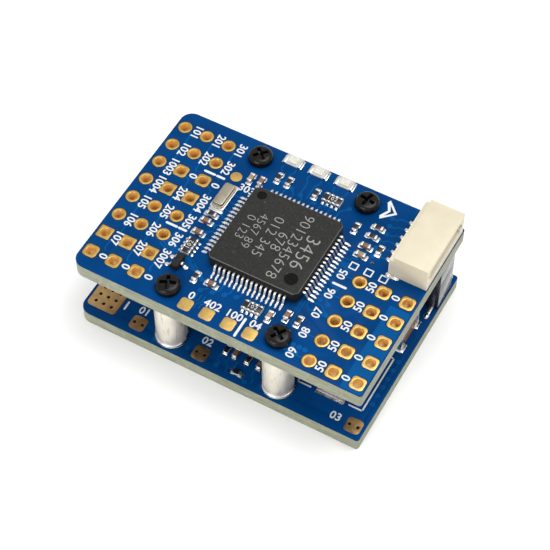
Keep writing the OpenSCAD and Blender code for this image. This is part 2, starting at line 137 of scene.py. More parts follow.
class MetalLooks(bpy.types.PropertyGroup):
    """Colours of the metals"""
    gold: colour_prop("Gold", "Plated pads and holes", (0.62, 0.41, 0.13))
    # Darker copy of the pad gold: painted shade for the pads that lie under the controller board.
    aged_gold: colour_prop("Gold in painted shade", "Pads of the power board", (0.54, 0.35, 0.15))
    tin: colour_prop("Tin", "Leads and chip ends", (0.76, 0.745, 0.71))
    standoff: colour_prop("Standoff", "Tin-plated standoffs", (0.88, 0.83, 0.72))
    solder: colour_prop("Solder", "Solder joints", (0.76, 0.755, 0.74))
    screw: colour_prop("Screw", "Blackened screws", (0.004, 0.0037, 0.0033))
    can: colour_prop("Metal lid", "Crystal and sensor lids", (0.42, 0.375, 0.29))


class PlasticLooks(bpy.types.PropertyGroup):
    """Colours of resins, plastics and ceramics"""
    processor: colour_prop("Processor", "Moulded resin", (0.021, 0.021, 0.0195))
    resin: colour_prop("Small chips", "Moulded resin", (0.014, 0.014, 0.015))
    header: colour_prop("Header", "Black nylon", (0.012, 0.012, 0.013))
    connector: colour_prop("Connector", "Cream nylon", (0.66, 0.6, 0.455))
    ferrite: colour_prop("Inductor", "Pressed powder", (0.045, 0.045, 0.047))
    brown: colour_prop("Brown capacitor", "Fired ceramic", (0.2, 0.105, 0.055))
    tan: colour_prop("Tan capacitor", "Fired ceramic", (0.3, 0.22, 0.13))
    alumina: colour_prop("Resistor base", "White ceramic", (0.55, 0.54, 0.5))
    marking: colour_prop("Chip marking", "Laser-marked numbers", (0.27, 0.265, 0.24))


class StageLooks(bpy.types.PropertyGroup):
    """Camera, floor and light"""
    azimuth: FloatProperty(name="Azimuth", description="Camera turned about Z from -Y",
                           default=math.radians(29.07), subtype="ANGLE")
    elevation: FloatProperty(name="Elevation", description="Camera height angle",
                             default=math.radians(54.53), subtype="ANGLE")
    distance: size_prop("Distance", "Camera to the point it aims at, in mm", 167.38)
    aim: FloatVectorProperty(name="Aim", description="Point the camera aims at, in mm",
                             default=(2.19, -2.797, 9.5))
    lens: FloatProperty(name="Lens", description="Focal length in mm", default=114.6)
    floor: colour_prop("Floor", "Pale floor", (0.98, 0.98, 0.98))
    sky: FloatProperty(name="Sky", description="Strength of the light all round",
                       default=0.75)
    key: FloatProperty(name="Key light", description="Power of the main lamp in mW",
                       default=200.0)


# ---- Materials ----

class Finish:
    """A node material under construction, with patterns in Object coordinates."""

    def __init__(self, name, colour, roughness, metallic=0.0, specular=0.5):
        """Starts from one colour and one roughness."""
        self.material = bpy.data.materials.new(name)
        self.material.use_nodes = True
        self.tree = self.material.node_tree
        self.shader = self.tree.nodes["Principled BSDF"]
        self.material.diffuse_color = (*colour, 1)
        self.colour = tuple(colour)
        self.shader.inputs["Base Color"].default_value = (*colour, 1)
        self.shader.inputs["Roughness"].default_value = roughness
        self.shader.inputs["Metallic"].default_value = metallic
        self.shader.inputs["Specular IOR Level"].default_value = specular
        self.coords = self.node("ShaderNodeTexCoord").outputs["Object"]
        self.bump_normal = None

    def node(self, kind, **values):
        """A new shader node with some of its settings."""
        made = self.tree.nodes.new(kind)
        for key, value in values.items():
            setattr(made, key, value)
        return made

    def link(self, a, b):
        """Joins an output to an input."""
        self.tree.links.new(a, b)

    def stretched(self, scale):
        """Object coordinates with another scale along each axis."""
        mapping = self.node("ShaderNodeMapping")
        mapping.inputs["Scale"].default_value = scale
        self.link(self.coords, mapping.inputs["Vector"])
        return mapping.outputs["Vector"]

    def noise(self, size_mm, detail=3.0, stretch=None, roughness=0.55):
        """Noise whose blobs are about size_mm across."""
        made = self.node("ShaderNodeTexNoise")
        made.inputs["Scale"].default_value = 1.0 / (size_mm * MM)
        made.inputs["Detail"].default_value = detail
        made.inputs["Roughness"].default_value = roughness
        self.link(self.stretched(stretch) if stretch else self.coords, made.inputs["Vector"])
        return made.outputs["Fac"]

    def spread(self, factor, low, high, from_low=0.3, from_high=0.7):
        """Takes a factor from one range to another."""
        made = self.node("ShaderNodeMapRange")
        for key, value in (("From Min", from_low), ("From Max", from_high),
                           ("To Min", low), ("To Max", high)):
            made.inputs[key].default_value = value
        self.link(factor, made.inputs["Value"])
        return made.outputs["Result"]

    def shade(self, factor, low, high, from_low=0.3, from_high=0.7):
        """Colour that goes between two multiples of what it is so far."""
        mix = self.node("ShaderNodeMix", data_type="RGBA")
        mix.inputs["A"].default_value = (*[min(1, c * low) for c in self.colour], 1)
        mix.inputs["B"].default_value = (*[min(1, c * high) for c in self.colour], 1)
        self.link(self.spread(factor, 0, 1, from_low, from_high), mix.inputs["Factor"])
        self.paint(mix.outputs["Result"])
        return self

    def stain(self, factor, colour, from_low=0.5, from_high=0.7):
        """A second colour over what is there, where factor is high."""
        mix = self.node("ShaderNodeMix", data_type="RGBA")
        socket = self.shader.inputs["Base Color"]
        if socket.is_linked:
            self.link(socket.links[0].from_socket, mix.inputs["A"])
        else:
            mix.inputs["A"].default_value = (*self.colour, 1)
        mix.inputs["B"].default_value = (*colour, 1)
        self.link(self.spread(factor, 0, 1, from_low, from_high), mix.inputs["Factor"])
        self.paint(mix.outputs["Result"])
        return self

    def paint(self, socket):
        """Gives the shader its colour."""
        self.link(socket, self.shader.inputs["Base Color"])

    def rough(self, factor, low, high):
        """Roughness that varies with the factor."""
        self.link(self.spread(factor, low, high), self.shader.inputs["Roughness"])
        return self

    def bump(self, factor, height_mm, strength=1.0):
        """Small relief, on top of any that is there."""
        made = self.node("ShaderNodeBump")
        made.inputs["Distance"].default_value = height_mm * MM
        made.inputs["Strength"].default_value = strength
        self.link(factor, made.inputs["Height"])
        if self.bump_normal is not None:
            self.link(self.bump_normal, made.inputs["Normal"])
        self.bump_normal = made.outputs["Normal"]
        self.link(self.bump_normal, self.shader.inputs["Normal"])
        return self

    def coat(self, weight, roughness):
        """A clear layer over the finish."""
        self.shader.inputs["Coat Weight"].default_value = weight
        self.shader.inputs["Coat Roughness"].default_value = roughness
        return self

    def soft_light(self, weight, radius_mm):
        """Light that enters and spreads under the surface."""
        self.shader.inputs["Subsurface Weight"].default_value = weight
        self.shader.inputs["Subsurface Radius"].default_value = (radius_mm * MM,) * 3
        self.shader.inputs["Subsurface Scale"].default_value = 1.0
        return self


def solder_mask(name, colour):
    """Glossy lacquer over the glass epoxy, a little uneven."""
    finish = Finish(name, colour, 0.3, specular=0.03)
    finish.shade(finish.noise(5.0, 2.0), 0.84, 1.14)
    finish.rough(finish.noise(0.8), 0.24, 0.38)
    finish.bump(finish.noise(0.25, 2.0), 0.006, 0.5)
    finish.bump(finish.noise(0.05, 1.0), 0.002, 0.4)
    return finish.material


def board_edge(looks):
    """Cut glass epoxy, with its layers running along the edge."""
    finish = Finish("glass_epoxy", looks.edge, 0.55, specular=0.35)
    layers = finish.noise(0.5, 4.0, stretch=(0.3, 0.3, 4.0))
    finish.shade(layers, 0.72, 1.25)
    finish.stain(finish.noise(0.35, 3.0, stretch=(1.0, 1.0, 0.4)), (0.35, 0.355, 0.26), 0.56, 0.76)
    finish.bump(finish.noise(0.09, 3.0, stretch=(1.0, 1.0, 2.5)), 0.02, 0.8)
    finish.soft_light(0.15, 0.3)
    return finish.material


def printed_ink(looks):
    """Matt white ink."""
    finish = Finish("printed_ink", looks.ink, 0.55, specular=0.3)
    finish.shade(finish.noise(0.3), 0.9, 1.04)
    finish.bump(finish.noise(0.06, 2.0), 0.008, 0.7)
    return finish.material


def plating(name, colour, roughness, grain=0.06, metallic=1.0):
    """Plated metal with a fine grain."""
    finish = Finish(name, colour, roughness, metallic=metallic)
    finish.shade(finish.noise(0.7, 3.0), 0.84, 1.1)
    finish.rough(finish.noise(0.25, 3.0), roughness * 0.8, roughness * 1.3)
    finish.bump(finish.noise(grain, 3.0), 0.006, 0.8)
    return finish.material


def solder(metals):
    """Bright solder with slow waves."""
    finish = Finish("solder", metals.solder, 0.2, metallic=1.0)
    finish.shade(finish.noise(0.5, 2.0), 0.84, 1.08)
    finish.rough(finish.noise(0.3, 2.0), 0.14, 0.32)
    finish.bump(finish.noise(0.3, 2.0), 0.008, 0.5)
    return finish.material


def drawn_tin(metals):
    """Turned and plated standoff: fine rings round it and dull rubs along it."""
    finish = Finish("standoff_plating", metals.standoff, 0.42, metallic=0.7, specular=0.5)
    finish.shade(finish.noise(1.1, 3.0, stretch=(1.0, 1.0, 0.3)), 0.84, 1.05)
    finish.rough(finish.noise(0.4, 3.0, stretch=(1.0, 1.0, 0.3)), 0.34, 0.52)
    finish.bump(finish.noise(0.4, 3.0, stretch=(1.0, 1.0, 5.0)), 0.004, 0.5)
    finish.bump(finish.noise(0.3, 4.0, stretch=(2.0, 2.0, 0.3)), 0.008, 0.6)
    finish.stain(finish.noise(0.45, 5.0, stretch=(2.2, 2.2, 0.25)), (0.46, 0.4, 0.31), 0.58, 0.76)
    finish.stain(finish.noise(0.35, 4.0, stretch=(4.0, 4.0, 0.4)), (0.2, 0.17, 0.13), 0.68, 0.78)
    return finish.material


def black_oxide(metals):
    """Blackened steel with small worn spots."""
    finish = Finish("black_oxide", metals.screw, 0.2, specular=0.24)
    finish.shade(finish.noise(0.3, 4.0), 0.6, 1.7)
    finish.rough(finish.noise(0.15, 3.0), 0.12, 0.26)
    finish.stain(finish.noise(0.09, 4.0), (0.1, 0.08, 0.06), 0.7, 0.82)
    finish.bump(finish.noise(0.1, 3.0), 0.012, 0.7)
    return finish.material


def brushed_lid(metals):
    """Metal lid brushed along Y."""
    finish = Finish("brushed_lid", metals.can, 0.34, metallic=1.0)
    finish.shade(finish.noise(0.12, 3.0, stretch=(4.0, 0.25, 1.0)), 0.82, 1.18)
    finish.rough(finish.noise(0.3, 2.0), 0.28, 0.42)
    finish.bump(finish.noise(0.08, 3.0, stretch=(4.0, 0.3, 1.0)), 0.004, 0.8)
    return finish.material


def moulded_resin(name, colour, grain=0.07, speck=0.0, specular=0.18):
    """Filled resin, with pale specks when speck is given."""
    finish = Finish(name, colour, 0.56, specular=specular)
    finish.shade(finish.noise(grain, 4.0, roughness=0.7), 0.55, 1.5)
    if speck:
        finish.stain(finish.noise(grain * 1.6, 2.0), (speck, speck, speck * 0.97), 0.66, 0.78)
    finish.rough(finish.noise(0.6), 0.48, 0.66)
    finish.bump(finish.noise(grain, 3.0, roughness=0.7), 0.012, 0.9)
    return finish.material


def black_nylon(plastics):
    """Smooth black plastic of the header."""
    finish = Finish("black_nylon", plastics.header, 0.22, specular=0.7)
    finish.shade(finish.noise(0.4, 4.0), 0.7, 1.6)
    finish.rough(finish.noise(0.5), 0.16, 0.32)
    finish.bump(finish.noise(0.12, 4.0), 0.006, 0.7)
    finish.coat(0.45, 0.15)
    return finish.material


def cream_nylon(plastics):
    """Slightly see-through cream plastic of the wire connector."""
    finish = Finish("cream_nylon", plastics.connector, 0.42, specular=0.4)
    finish.shade(finish.noise(2.5, 3.0), 0.95, 1.04)
    finish.rough(finish.noise(0.6), 0.36, 0.5)
    finish.bump(finish.noise(0.14, 3.0), 0.006, 0.6)
    finish.soft_light(0.3, 0.5)
    return finish.material


def fired_ceramic(name, colour, gloss=0.4):
    """Ceramic or glaze with a fine speckle."""
    finish = Finish(name, colour, gloss, specular=0.4)
    finish.shade(finish.noise(0.12, 4.0), 0.78, 1.22)
    finish.rough(finish.noise(0.2), gloss * 0.8, gloss * 1.3)
    finish.bump(finish.noise(0.05, 3.0), 0.005, 0.7)
    return finish.material


def milky_lens():
    """Lamp lens with a faint green cast."""
    finish = Finish("milky_lens", (0.68, 0.66, 0.58), 0.16, specular=0.5)
    finish.shade(finish.noise(0.3, 2.0), 0.9, 1.06)
    finish.stain(finish.noise(0.5, 2.0), (0.58, 0.66, 0.54), 0.55, 0.74)
    finish.bump(finish.noise(0.3, 2.0), 0.01, 0.3)
    finish.soft_light(0.6, 0.4)
    return finish.material


def plain_floor(stage):
    """Pale paper floor."""
    finish = Finish("studio_floor", stage.floor, 0.7, specular=0.1)
    finish.shade(finish.noise(30.0, 2.0), 0.995, 1.005)
    return finish.material


MATERIALS = {}


def make_materials():
    """Fills MATERIALS with every finish under a short key."""
    scene = bpy.context.scene
    boards, metals, plastics = scene.fc_boards, scene.fc_metals, scene.fc_plastics
    MATERIALS.update({
        "mask": solder_mask("solder_mask", boards.mask),
        "mask_copper": solder_mask("solder_mask_on_copper", boards.mask_on_copper),
        "edge": board_edge(boards),
        "ink": printed_ink(boards),
        "gold": plating("pad_gold", metals.gold, 0.34),
        # Walls of the plated holes: lighter and less metallic than the pad gold, partly the matte
        # plating of the wall and partly painted light reaching into the holes.
        "barrel_painted_light": plating("hole_gold_painted_light", (0.92, 0.55, 0.16), 0.36, 0.1, 0.4),
        # Pad gold darkened as painted shade for the power board, with a rougher grain.
        "aged_gold": plating("aged_gold", metals.aged_gold, 0.42, 0.12),
        "tin": plating("tin_plate", metals.tin, 0.28, 0.05),
        "standoff": drawn_tin(metals),
        "solder": solder(metals),
        "screw": black_oxide(metals),
        "can": brushed_lid(metals),
        "processor": moulded_resin("processor_resin", plastics.processor, 0.17, 0.085),
        # Lighter copy of the processor resin: a painted highlight on the rounded rims.
        "processor_rim_painted_highlight": moulded_resin("processor_rim_painted_highlight", (0.12, 0.12, 0.113), 0.1, 0.2),
        # Darker copy of the processor resin: painted shade on the upright sides.
        "processor_side_painted_shade": moulded_resin("processor_side_painted_shade", (0.011, 0.011, 0.0105), 0.08),
        # Dark resin of the processor's mould marks; the same colour is also painted shade on the
        # floors of the via holes in the flat pads.
        "mark": moulded_resin("ejector_mark_and_via_shade", (0.007, 0.007, 0.007), 0.2, 0.0, 0.05),
        "bare": moulded_resin("bare_laminate", (0.03, 0.025, 0.012), 0.2, 0.0, 0.1),
        "resin": moulded_resin("chip_resin", plastics.resin, 0.06),
        "glaze": fired_ceramic("black_glaze", (0.011, 0.011, 0.012), 0.25),
        "alumina": fired_ceramic("alumina", plastics.alumina),
        "brown": fired_ceramic("brown_ceramic", plastics.brown),
        "tan": fired_ceramic("tan_ceramic", plastics.tan),
        "ferrite": moulded_resin("pressed_ferrite", plastics.ferrite, 0.1, 0.12),
        "header": black_nylon(plastics),
        "cream": cream_nylon(plastics),
        "white": fired_ceramic("lamp_base_white", (0.58, 0.58, 0.56), 0.4),
        "lens": milky_lens(),
        "marking": fired_ceramic("laser_marking", plastics.marking, 0.7),
    })


# ---- Mesh helpers, all in millimetres ----

def join(target, source, place=None, material=0):
    """Moves one bmesh into another, with its place and its material slot."""
    if place is not None:
        source.transform(place)
    for face in source.faces:
        face.material_index = material
    mesh = bpy.data.meshes.new("joined")
    source.to_mesh(mesh)
    source.free()
    target.from_mesh(mesh)
    bpy.data.meshes.remove(mesh)


def add_line(curve, points, closed=False):
    """Adds a line of straight pieces to a curve."""
    spline = curve.splines.new("POLY")
    spline.points.add(len(points) - 1)
    spline.use_cyclic_u = closed
    for point, (x, y) in zip(spline.points, points):
        point.co = (x, y, 0, 1)


def mesh_of_curve(curve):
    """The bmesh that a curve makes; the curve itself is used up."""
    holder = bpy.data.objects.new(curve.name, curve)
    mesh = bpy.data.meshes.new_from_object(holder)
    bpy.data.objects.remove(holder)
    bpy.data.curves.remove(curve)
    bm = bmesh.new()
    bm.from_mesh(mesh)
    bpy.data.meshes.remove(mesh)
    return bm


def sharp_edges(bm, angle=30.0):
    """Edges that bend by more than the angle."""
    limit = math.radians(angle)
    return [e for e in bm.edges
            if len(e.link_faces) == 2 and e.calc_face_angle(0.0) > limit]


def soften(bm, width, segments=2, angle=30.0):
    """Rounds the sharp edges."""
    if width > 0:
        bmesh.ops.bevel(bm, geom=sharp_edges(bm, angle), offset=width, segments=segments,
                        affect="EDGES", profile=0.5, material=-1, clamp_overlap=True)
    return bm


def brick(low, high, bevel=0.03, segments=2):
    """A box between two corners with rounded edges."""
    bm = bmesh.new()
    bmesh.ops.create_cube(bm, size=1.0)
    size = Vector(high) - Vector(low)
    centre = (Vector(high) + Vector(low)) / 2
    bmesh.ops.scale(bm, vec=size, verts=bm.verts)
    bmesh.ops.translate(bm, vec=centre, verts=bm.verts)
    return soften(bm, bevel, segments)


def standing_brick(size, bevel=0.03, z=0.0, segments=2):
    """A rounded box centred in X and Y that stands on z."""
    x, y, height = size
    return brick((-x / 2, -y / 2, z), (x / 2, y / 2, z + height), bevel, segments)


def prism(points, width, bevel=0.0, segments=2):
    """An outline in X and Z drawn out along Y, centred on it."""
    bm = bmesh.new()
    face = bm.faces.new([bm.verts.new((x, -width / 2, z)) for x, z in points])
    drawn = bmesh.ops.extrude_face_region(bm, geom=[face])
    moved = [v for v in drawn["geom"] if isinstance(v, bmesh.types.BMVert)]
    bmesh.ops.translate(bm, vec=(0, width, 0), verts=moved)
    bmesh.ops.recalc_face_normals(bm, faces=bm.faces)
    return soften(bm, bevel, segments)


def plate(points, height, bevel=0.0, z=0.0, segments=2):
    """An outline in X and Y raised along Z."""
    bm = prism([(x, -y) for x, y in points], height)
    bm.transform(Matrix.Rotation(math.radians(90), 4, "X"))
    bmesh.ops.translate(bm, vec=(0, 0, z + height / 2), verts=bm.verts)
    bmesh.ops.recalc_face_normals(bm, faces=bm.faces)
    return soften(bm, bevel, segments)


def arc(centre, radius, start, end, steps):
    """Points along an arc, angles in degrees."""
    return [(centre[0] + radius * math.cos(math.radians(start + (end - start) * i / steps)),
             centre[1] + radius * math.sin(math.radians(start + (end - start) * i / steps)))
            for i in range(steps + 1)]


def round_square(x, y, radius, steps=6):
    """Outline of a rectangle with round corners."""
    points = []
    for i, (sx, sy) in enumerate(((1, 1), (-1, 1), (-1, -1), (1, -1))):
        centre = (sx * (x / 2 - radius), sy * (y / 2 - radius))
        points += arc(centre, radius, 90 * i, 90 * i + 90, steps)
    return points


def round_outline(centre, radius, steps=24):
    """Outline of a circle."""
    return arc(centre, radius, 0, 360 - 360 // steps, steps - 1)


def drilled(target, outlines, low, high, rim=0.0, material=0, place=None):
    """A flat sheet between two heights: the first outline, less the holes after it."""
    curve = bpy.data.curves.new("sheet", "CURVE")
    curve.dimensions = "2D"
    curve.fill_mode = "BOTH"
    curve.extrude = (high - low) / 2 - rim
    curve.bevel_depth = rim
    for points in outlines:
        add_line(curve, points, closed=True)
    bm = mesh_of_curve(curve)
    bmesh.ops.remove_doubles(bm, verts=bm.verts, dist=1e-4)
    bmesh.ops.recalc_face_normals(bm, faces=bm.faces)
    bmesh.ops.translate(bm, vec=(0, 0, (low + high) / 2), verts=bm.verts)
    join(target, bm, place, material)


def turned(profile, steps=32):
    """A profile of (radius, z) spun about Z; a closed profile makes a ring."""
    bm = bmesh.new()
    verts = [bm.verts.new((r, 0, z)) for r, z in profile]
    edges = [bm.edges.new(pair) for pair in zip(verts, verts[1:])]
    bmesh.ops.spin(bm, geom=verts + edges, cent=(0, 0, 0), axis=(0, 0, 1),
                   angle=2 * math.pi, steps=steps, use_merge=True)
    bmesh.ops.remove_doubles(bm, verts=bm.verts, dist=1e-5)
    bmesh.ops.recalc_face_normals(bm, faces=bm.faces)
    return bm


def dome(rx, ry, rz, rings=5, steps=12):
    """A closed low dome that stands on z = 0."""
    bm = turned([(math.cos(math.radians(a)), math.sin(math.radians(a)))
                 for a in [90 * i / rings for i in range(rings + 1)]], steps)
    rim = [e for e in bm.edges if e.is_boundary]
    bmesh.ops.holes_fill(bm, edges=rim, sides=0)
    bmesh.ops.scale(bm, vec=(rx, ry, rz), verts=bm.verts)
    bmesh.ops.recalc_face_normals(bm, faces=bm.faces)
    return bm


def shape_of(node):
    """A clean copy of a CAD node's mesh, in millimetres."""
    bm = bmesh.new()
    bm.from_mesh(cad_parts[node].data)
    bmesh.ops.scale(bm, vec=(1 / MM,) * 3, verts=bm.verts)
    bmesh.ops.remove_doubles(bm, verts=bm.verts, dist=0.002)
    bmesh.ops.dissolve_limit(bm, angle_limit=math.radians(1), verts=bm.verts,
                             edges=bm.edges)
    return bm


def at(x, y, z, turn=0.0):
    """A place, turned about Z by an angle in degrees."""
    return Matrix.Translation((x, y, z)) @ Matrix.Rotation(math.radians(turn), 4, "Z")


def piece(bm, name, body, materials, replaces=(), smooth=35.0):
    """Makes the finished object of a bmesh in millimetres and puts it on its body."""
    bmesh.ops.scale(bm, vec=(MM,) * 3, verts=bm.verts)
    limit = math.radians(smooth)
    for face in bm.faces:
        face.smooth = True
    for edge in bm.edges:
        edge.smooth = len(edge.link_faces) != 2 or edge.calc_face_angle(0.0) < limit
    mesh = bpy.data.meshes.new(name)
    bm.to_mesh(mesh)
    bm.free()
    for key in materials:
        mesh.materials.append(MATERIALS[key])
    made = bpy.data.objects.new(name, mesh)
    bpy.context.scene.collection.objects.link(made)
    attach(made, body)
    if replaces:
        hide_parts(*replaces)
    return made


def dress(node, key):
    """Gives a CAD node its finish."""
    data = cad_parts[node].data
    data.materials.clear()
    data.materials.append(MATERIALS[key])


# ---- Boards ----

BOARDS = (("upper_pcb", CONTROL), ("lower_pcb", POWER))


def board_slab(node, body):
    """One board with masked faces and bare cut edges."""
    bm = shape_of(node)
    soften(bm, 0.035, 2, 60)
    for face in bm.faces:
        face.material_index = 0 if abs(face.normal.z) > 0.9 else 1
    return piece(bm, node.replace("pcb", "board"), body,
                 ("mask", "edge"), [node])


def ridge(target, points, width, z, height=0.011):
    """A low round-backed copper trace under the mask, along a line of points."""
    curve = bpy.data.curves.new("trace", "CURVE")
    curve.dimensions = "3D"
    curve.bevel_depth = width / 2
    curve.bevel_resolution = 1
    curve.use_fill_caps = True
    add_line(curve, points)
    flatten = Matrix.Diagonal((1, 1, 2 * height / width, 1))
    join(target, mesh_of_curve(curve), Matrix.Translation((0, 0, z)) @ flatten)


def tented_via(target, x, y, z):
    """A small copper ring with a dimple, under the mask."""
    ring = [(0.0, 0.002), (0.07, 0.003), (0.11, 0.014), (0.17, 0.016), (0.23, 0.011),
            (0.27, 0.0), (0.27, -0.02), (0.0, -0.02)]
    join(target, turned(ring, 16), at(x, y, z))


# Each side of the processor: its turn, first and last lead with a trace, straight length
FAN_SIDES = ((0, 0, 15, 0.35), (90, 1, 14, 0.4), (180, 0, 15, 0.3), (270, 1, 15, 0.5))


def rows_of(node):
    """Y of each row of a group of pads, from the back of the board to the front."""
    return sorted({round(middle(box).y, 2) for box in solids(node)}, reverse=True)


def processor_traces(bm, z):
    """Every second lead has a trace that fans out, with one 45 degree bend, to a via."""
    low, high = box_mm("mcu_leads")
    centre = (low + high) / 2
    reach = (high.x - low.x) / 2
    width = bpy.context.scene.fc_boards.trace_width
    for turn, first, last, straight in FAN_SIDES:
        turn_by = Matrix.Rotation(math.radians(turn), 2)
        for index in range(first, last, 2):
            offset = index - (LEADS_PER_SIDE - 1) / 2
            side = offset * LEAD_PITCH
            bend = 0.25 + 0.07 * abs(offset)
            end = reach + (straight + 0.09 * abs(offset))
            path = [turn_by @ Vector(spot) for spot in
                    ((reach - 0.1, side), (end, side),
                     (end + bend, side + math.copysign(bend, offset)))]
            path = [(spot.x + centre.x, spot.y + centre.y) for spot in path]
            ridge(bm, path, width, z)
            tented_via(bm, *path[-1], z)


def wire_pad_traces(bm, z, run):
    """Traces from the wire pads at both ends of the board towards the processor."""
    right = box_mm("hole_pads_right")
    for i, y in enumerate(rows_of("hole_pads_right")):
        lane = right[0].x - 1.9 - 0.3 * i
        run((right[0].x + 0.2, y), (lane + 0.4, y), (lane, y + 0.4), (lane, 1.9 - 0.2 * i),
            (lane - 0.8, 2.7 - 0.2 * i))
    left = box_mm("hole_pads_left")
    for i, y in enumerate(rows_of("hole_pads_left")[:7]):
        for column in range(3):
            x = left[0].x + WIRE_PAD / 2 + WIRE_PITCH * column
            lane = x + 1.15 + 0.16 * (i % 3 - 1)
            run((x + 0.6, y - 0.25), (lane - 0.2, y - 0.25 - 0.3), (lane, y - 0.75),
                (lane, y - 1.6), (lane + 0.25, y - 1.9))
    for i in range(6):
        step = 0.3 * i
        run((-8.9 - step * 0.4, -3.1 - step * 1.1), (-8.2, -3.9 - step),
            (-7.9 + step * 0.3, -4.4 - step), (-5.9 + step, -4.9 - step * 0.8),
            (-5.2 + step, -5.6 - step * 0.7))
        tented_via(bm, -5.2 + step, -5.6 - step * 0.7, z)


def connector_traces(bm, z, run):
    """One short trace and a via for each contact of the wire connector."""
    for i in range(CONTACTS):
        y = middle(box_mm("connector_contacts")).y + (i - (CONTACTS - 1) / 2) * CONTACT_PITCH
        reach = 9.9 - 0.22 * (i % 3)
        run((10.9, y), (reach + 0.3, y), (reach, y - 0.3), (reach - 0.5, y - 0.3))
        tented_via(bm, reach - 0.55, y - 0.3, z)


def lamp_traces(run):
    """Two traces from each lamp towards its resistors."""
    for i, lamp in enumerate(solids("lamp_bases")):
        x = middle(lamp).x
        for side in (-0.7, 0.7):
            run((x + side, 9.5), (x + side, 9.0), (x + side * 0.6, 8.6),
                (x + side * 0.6, 7.0 - 0.2 * i))


def front_traces(bm, z, run):
    """Loose vias and short traces near the front edge."""
    for i in range(7):
        tented_via(bm, 6.9 + 0.62 * (i % 4), -8.9 - 0.7 * (i // 4), z)
        tented_via(bm, 7.3 + 0.4 * (i % 3), 1.6 - 1.5 * (i // 3) - 0.3 * i, z)
    for i in range(5):
        x = -3.6 + 0.42 * i
        run((x, -8.2), (x, -8.9), (x - 0.35, -9.25), (x - 0.35, -10.3 + 0.15 * i))


def ground_area(bm, z):
    """Wide copper under the outer column of wire pads, clear of their holes."""
    column = box_mm("hole_pads_right")[1].x - WIRE_PAD / 2
    holes = [round_outline((column, y), 0.66, 36) for y in rows_of("hole_pads_right") if y < 0]
    zone = [(13.42, -10.85), (15.58, -10.85), (15.58, -0.6), (13.42, -0.6)]
    drilled(bm, [zone] + holes, z - 0.004, z + 0.01)


def upper_traces():
    """All the copper of the controller board that shows through its mask."""
    z = box_mm("upper_pcb")[1].z
    width = bpy.context.scene.fc_boards.trace_width
    bm = bmesh.new()

    def run(*points):
        """One trace along a line of points."""
        ridge(bm, points, width, z)

    processor_traces(bm, z)
    wire_pad_traces(bm, z, run)
    connector_traces(bm, z, run)
    lamp_traces(run)
    front_traces(bm, z, run)
    ground_area(bm, z)
    piece(bm, "upper_copper_traces", CONTROL, ("mask_copper",))


def lower_traces():
    """Traces and covered vias along the open edges of the power board."""
    z = box_mm("lower_pcb")[1].z
    bm = bmesh.new()
    width = bpy.context.scene.fc_boards.trace_width
    for i in range(5):
        x = -0.6 + 0.95 * i
        ridge(bm, [(x, -8.7), (x, -9.3), (x + 0.4, -9.7), (x + 0.4, -10.3)], width, z)
    for i in range(9):
        tented_via(bm, -7.2 + 1.7 * i, -10.35 + 0.35 * (i % 3), z)
    for i in range(6):
        tented_via(bm, 15.0, -6.6 + 1.1 * i, z)
    piece(bm, "lower_copper_traces", POWER, ("mask_copper",))


# ---- Pads ----

# Outline of each wire pad, by row from the back: round, rounded or square
LEFT_SHAPES = "ooo ooo orr oss ooo ooo sss rrr"
RIGHT_SHAPES = "orr orr orr orr orr"
# Corner radius of each outline, as a share of half the pad
CORNERS = {"o": 1.0, "r": 0.52, "s": 0.12}
# Keeps a little of the straight sides, which the outline of a round pad also needs
SHORT_OF_ROUND = 0.999


def eyelet(width, corner, hole, low, high, steps=48):
    """A plated hole with a pad on both faces of the board and a rounded lip."""
    bm = bmesh.new()
    turns = [2 * math.pi * i / steps for i in range(steps)]
    flat = width / 2 - corner

    def reach(angle):
        """How far the pad's outline lies from the middle, in one direction."""
        x, y = abs(math.cos(angle)), abs(math.sin(angle))
        if y * (width / 2) < flat * x:
            return width / 2 / x
        if x * (width / 2) < flat * y:
            return width / 2 / y
        along = flat * (x + y)
        return along + math.sqrt(max(0.0, along ** 2 - 2 * flat ** 2 + corner ** 2))

    def circle(radius):
        """A round ring."""
        return [(radius * math.cos(a), radius * math.sin(a)) for a in turns]

    def inset(amount):
        """The pad's outline, drawn in by an amount."""
        return [((reach(a) - amount) * math.cos(a), (reach(a) - amount) * math.sin(a))
                for a in turns]

    lip = hole / 2
    rings = [(circle(lip), (low + high) / 2), (circle(lip), high - 0.06),
             (circle(lip + 0.02), high - 0.015), (circle(lip + 0.06), high + 0.01),
             (circle(lip + 0.09), high + 0.012), (inset(0.07), high + 0.004),
             (inset(0.025), high - 0.003), (inset(0), high - 0.03), (inset(0), high - 0.08)]
    mirrored = [(ring, low + high - z) for ring, z in rings]
    whole = rings[::-1] + mirrored[1:]
    loops = [[bm.verts.new((x, y, z)) for x, y in ring] for ring, z in whole]
    edges = [[bm.edges.new((loop[i], loop[(i + 1) % steps])) for i in range(steps)]
             for loop in loops]
    for a, b in zip(edges, edges[1:]):
        bmesh.ops.bridge_loops(bm, edges=a + b)
    bmesh.ops.bridge_loops(bm, edges=edges[-1] + edges[0])
    bmesh.ops.recalc_face_normals(bm, faces=bm.faces)
    return bm


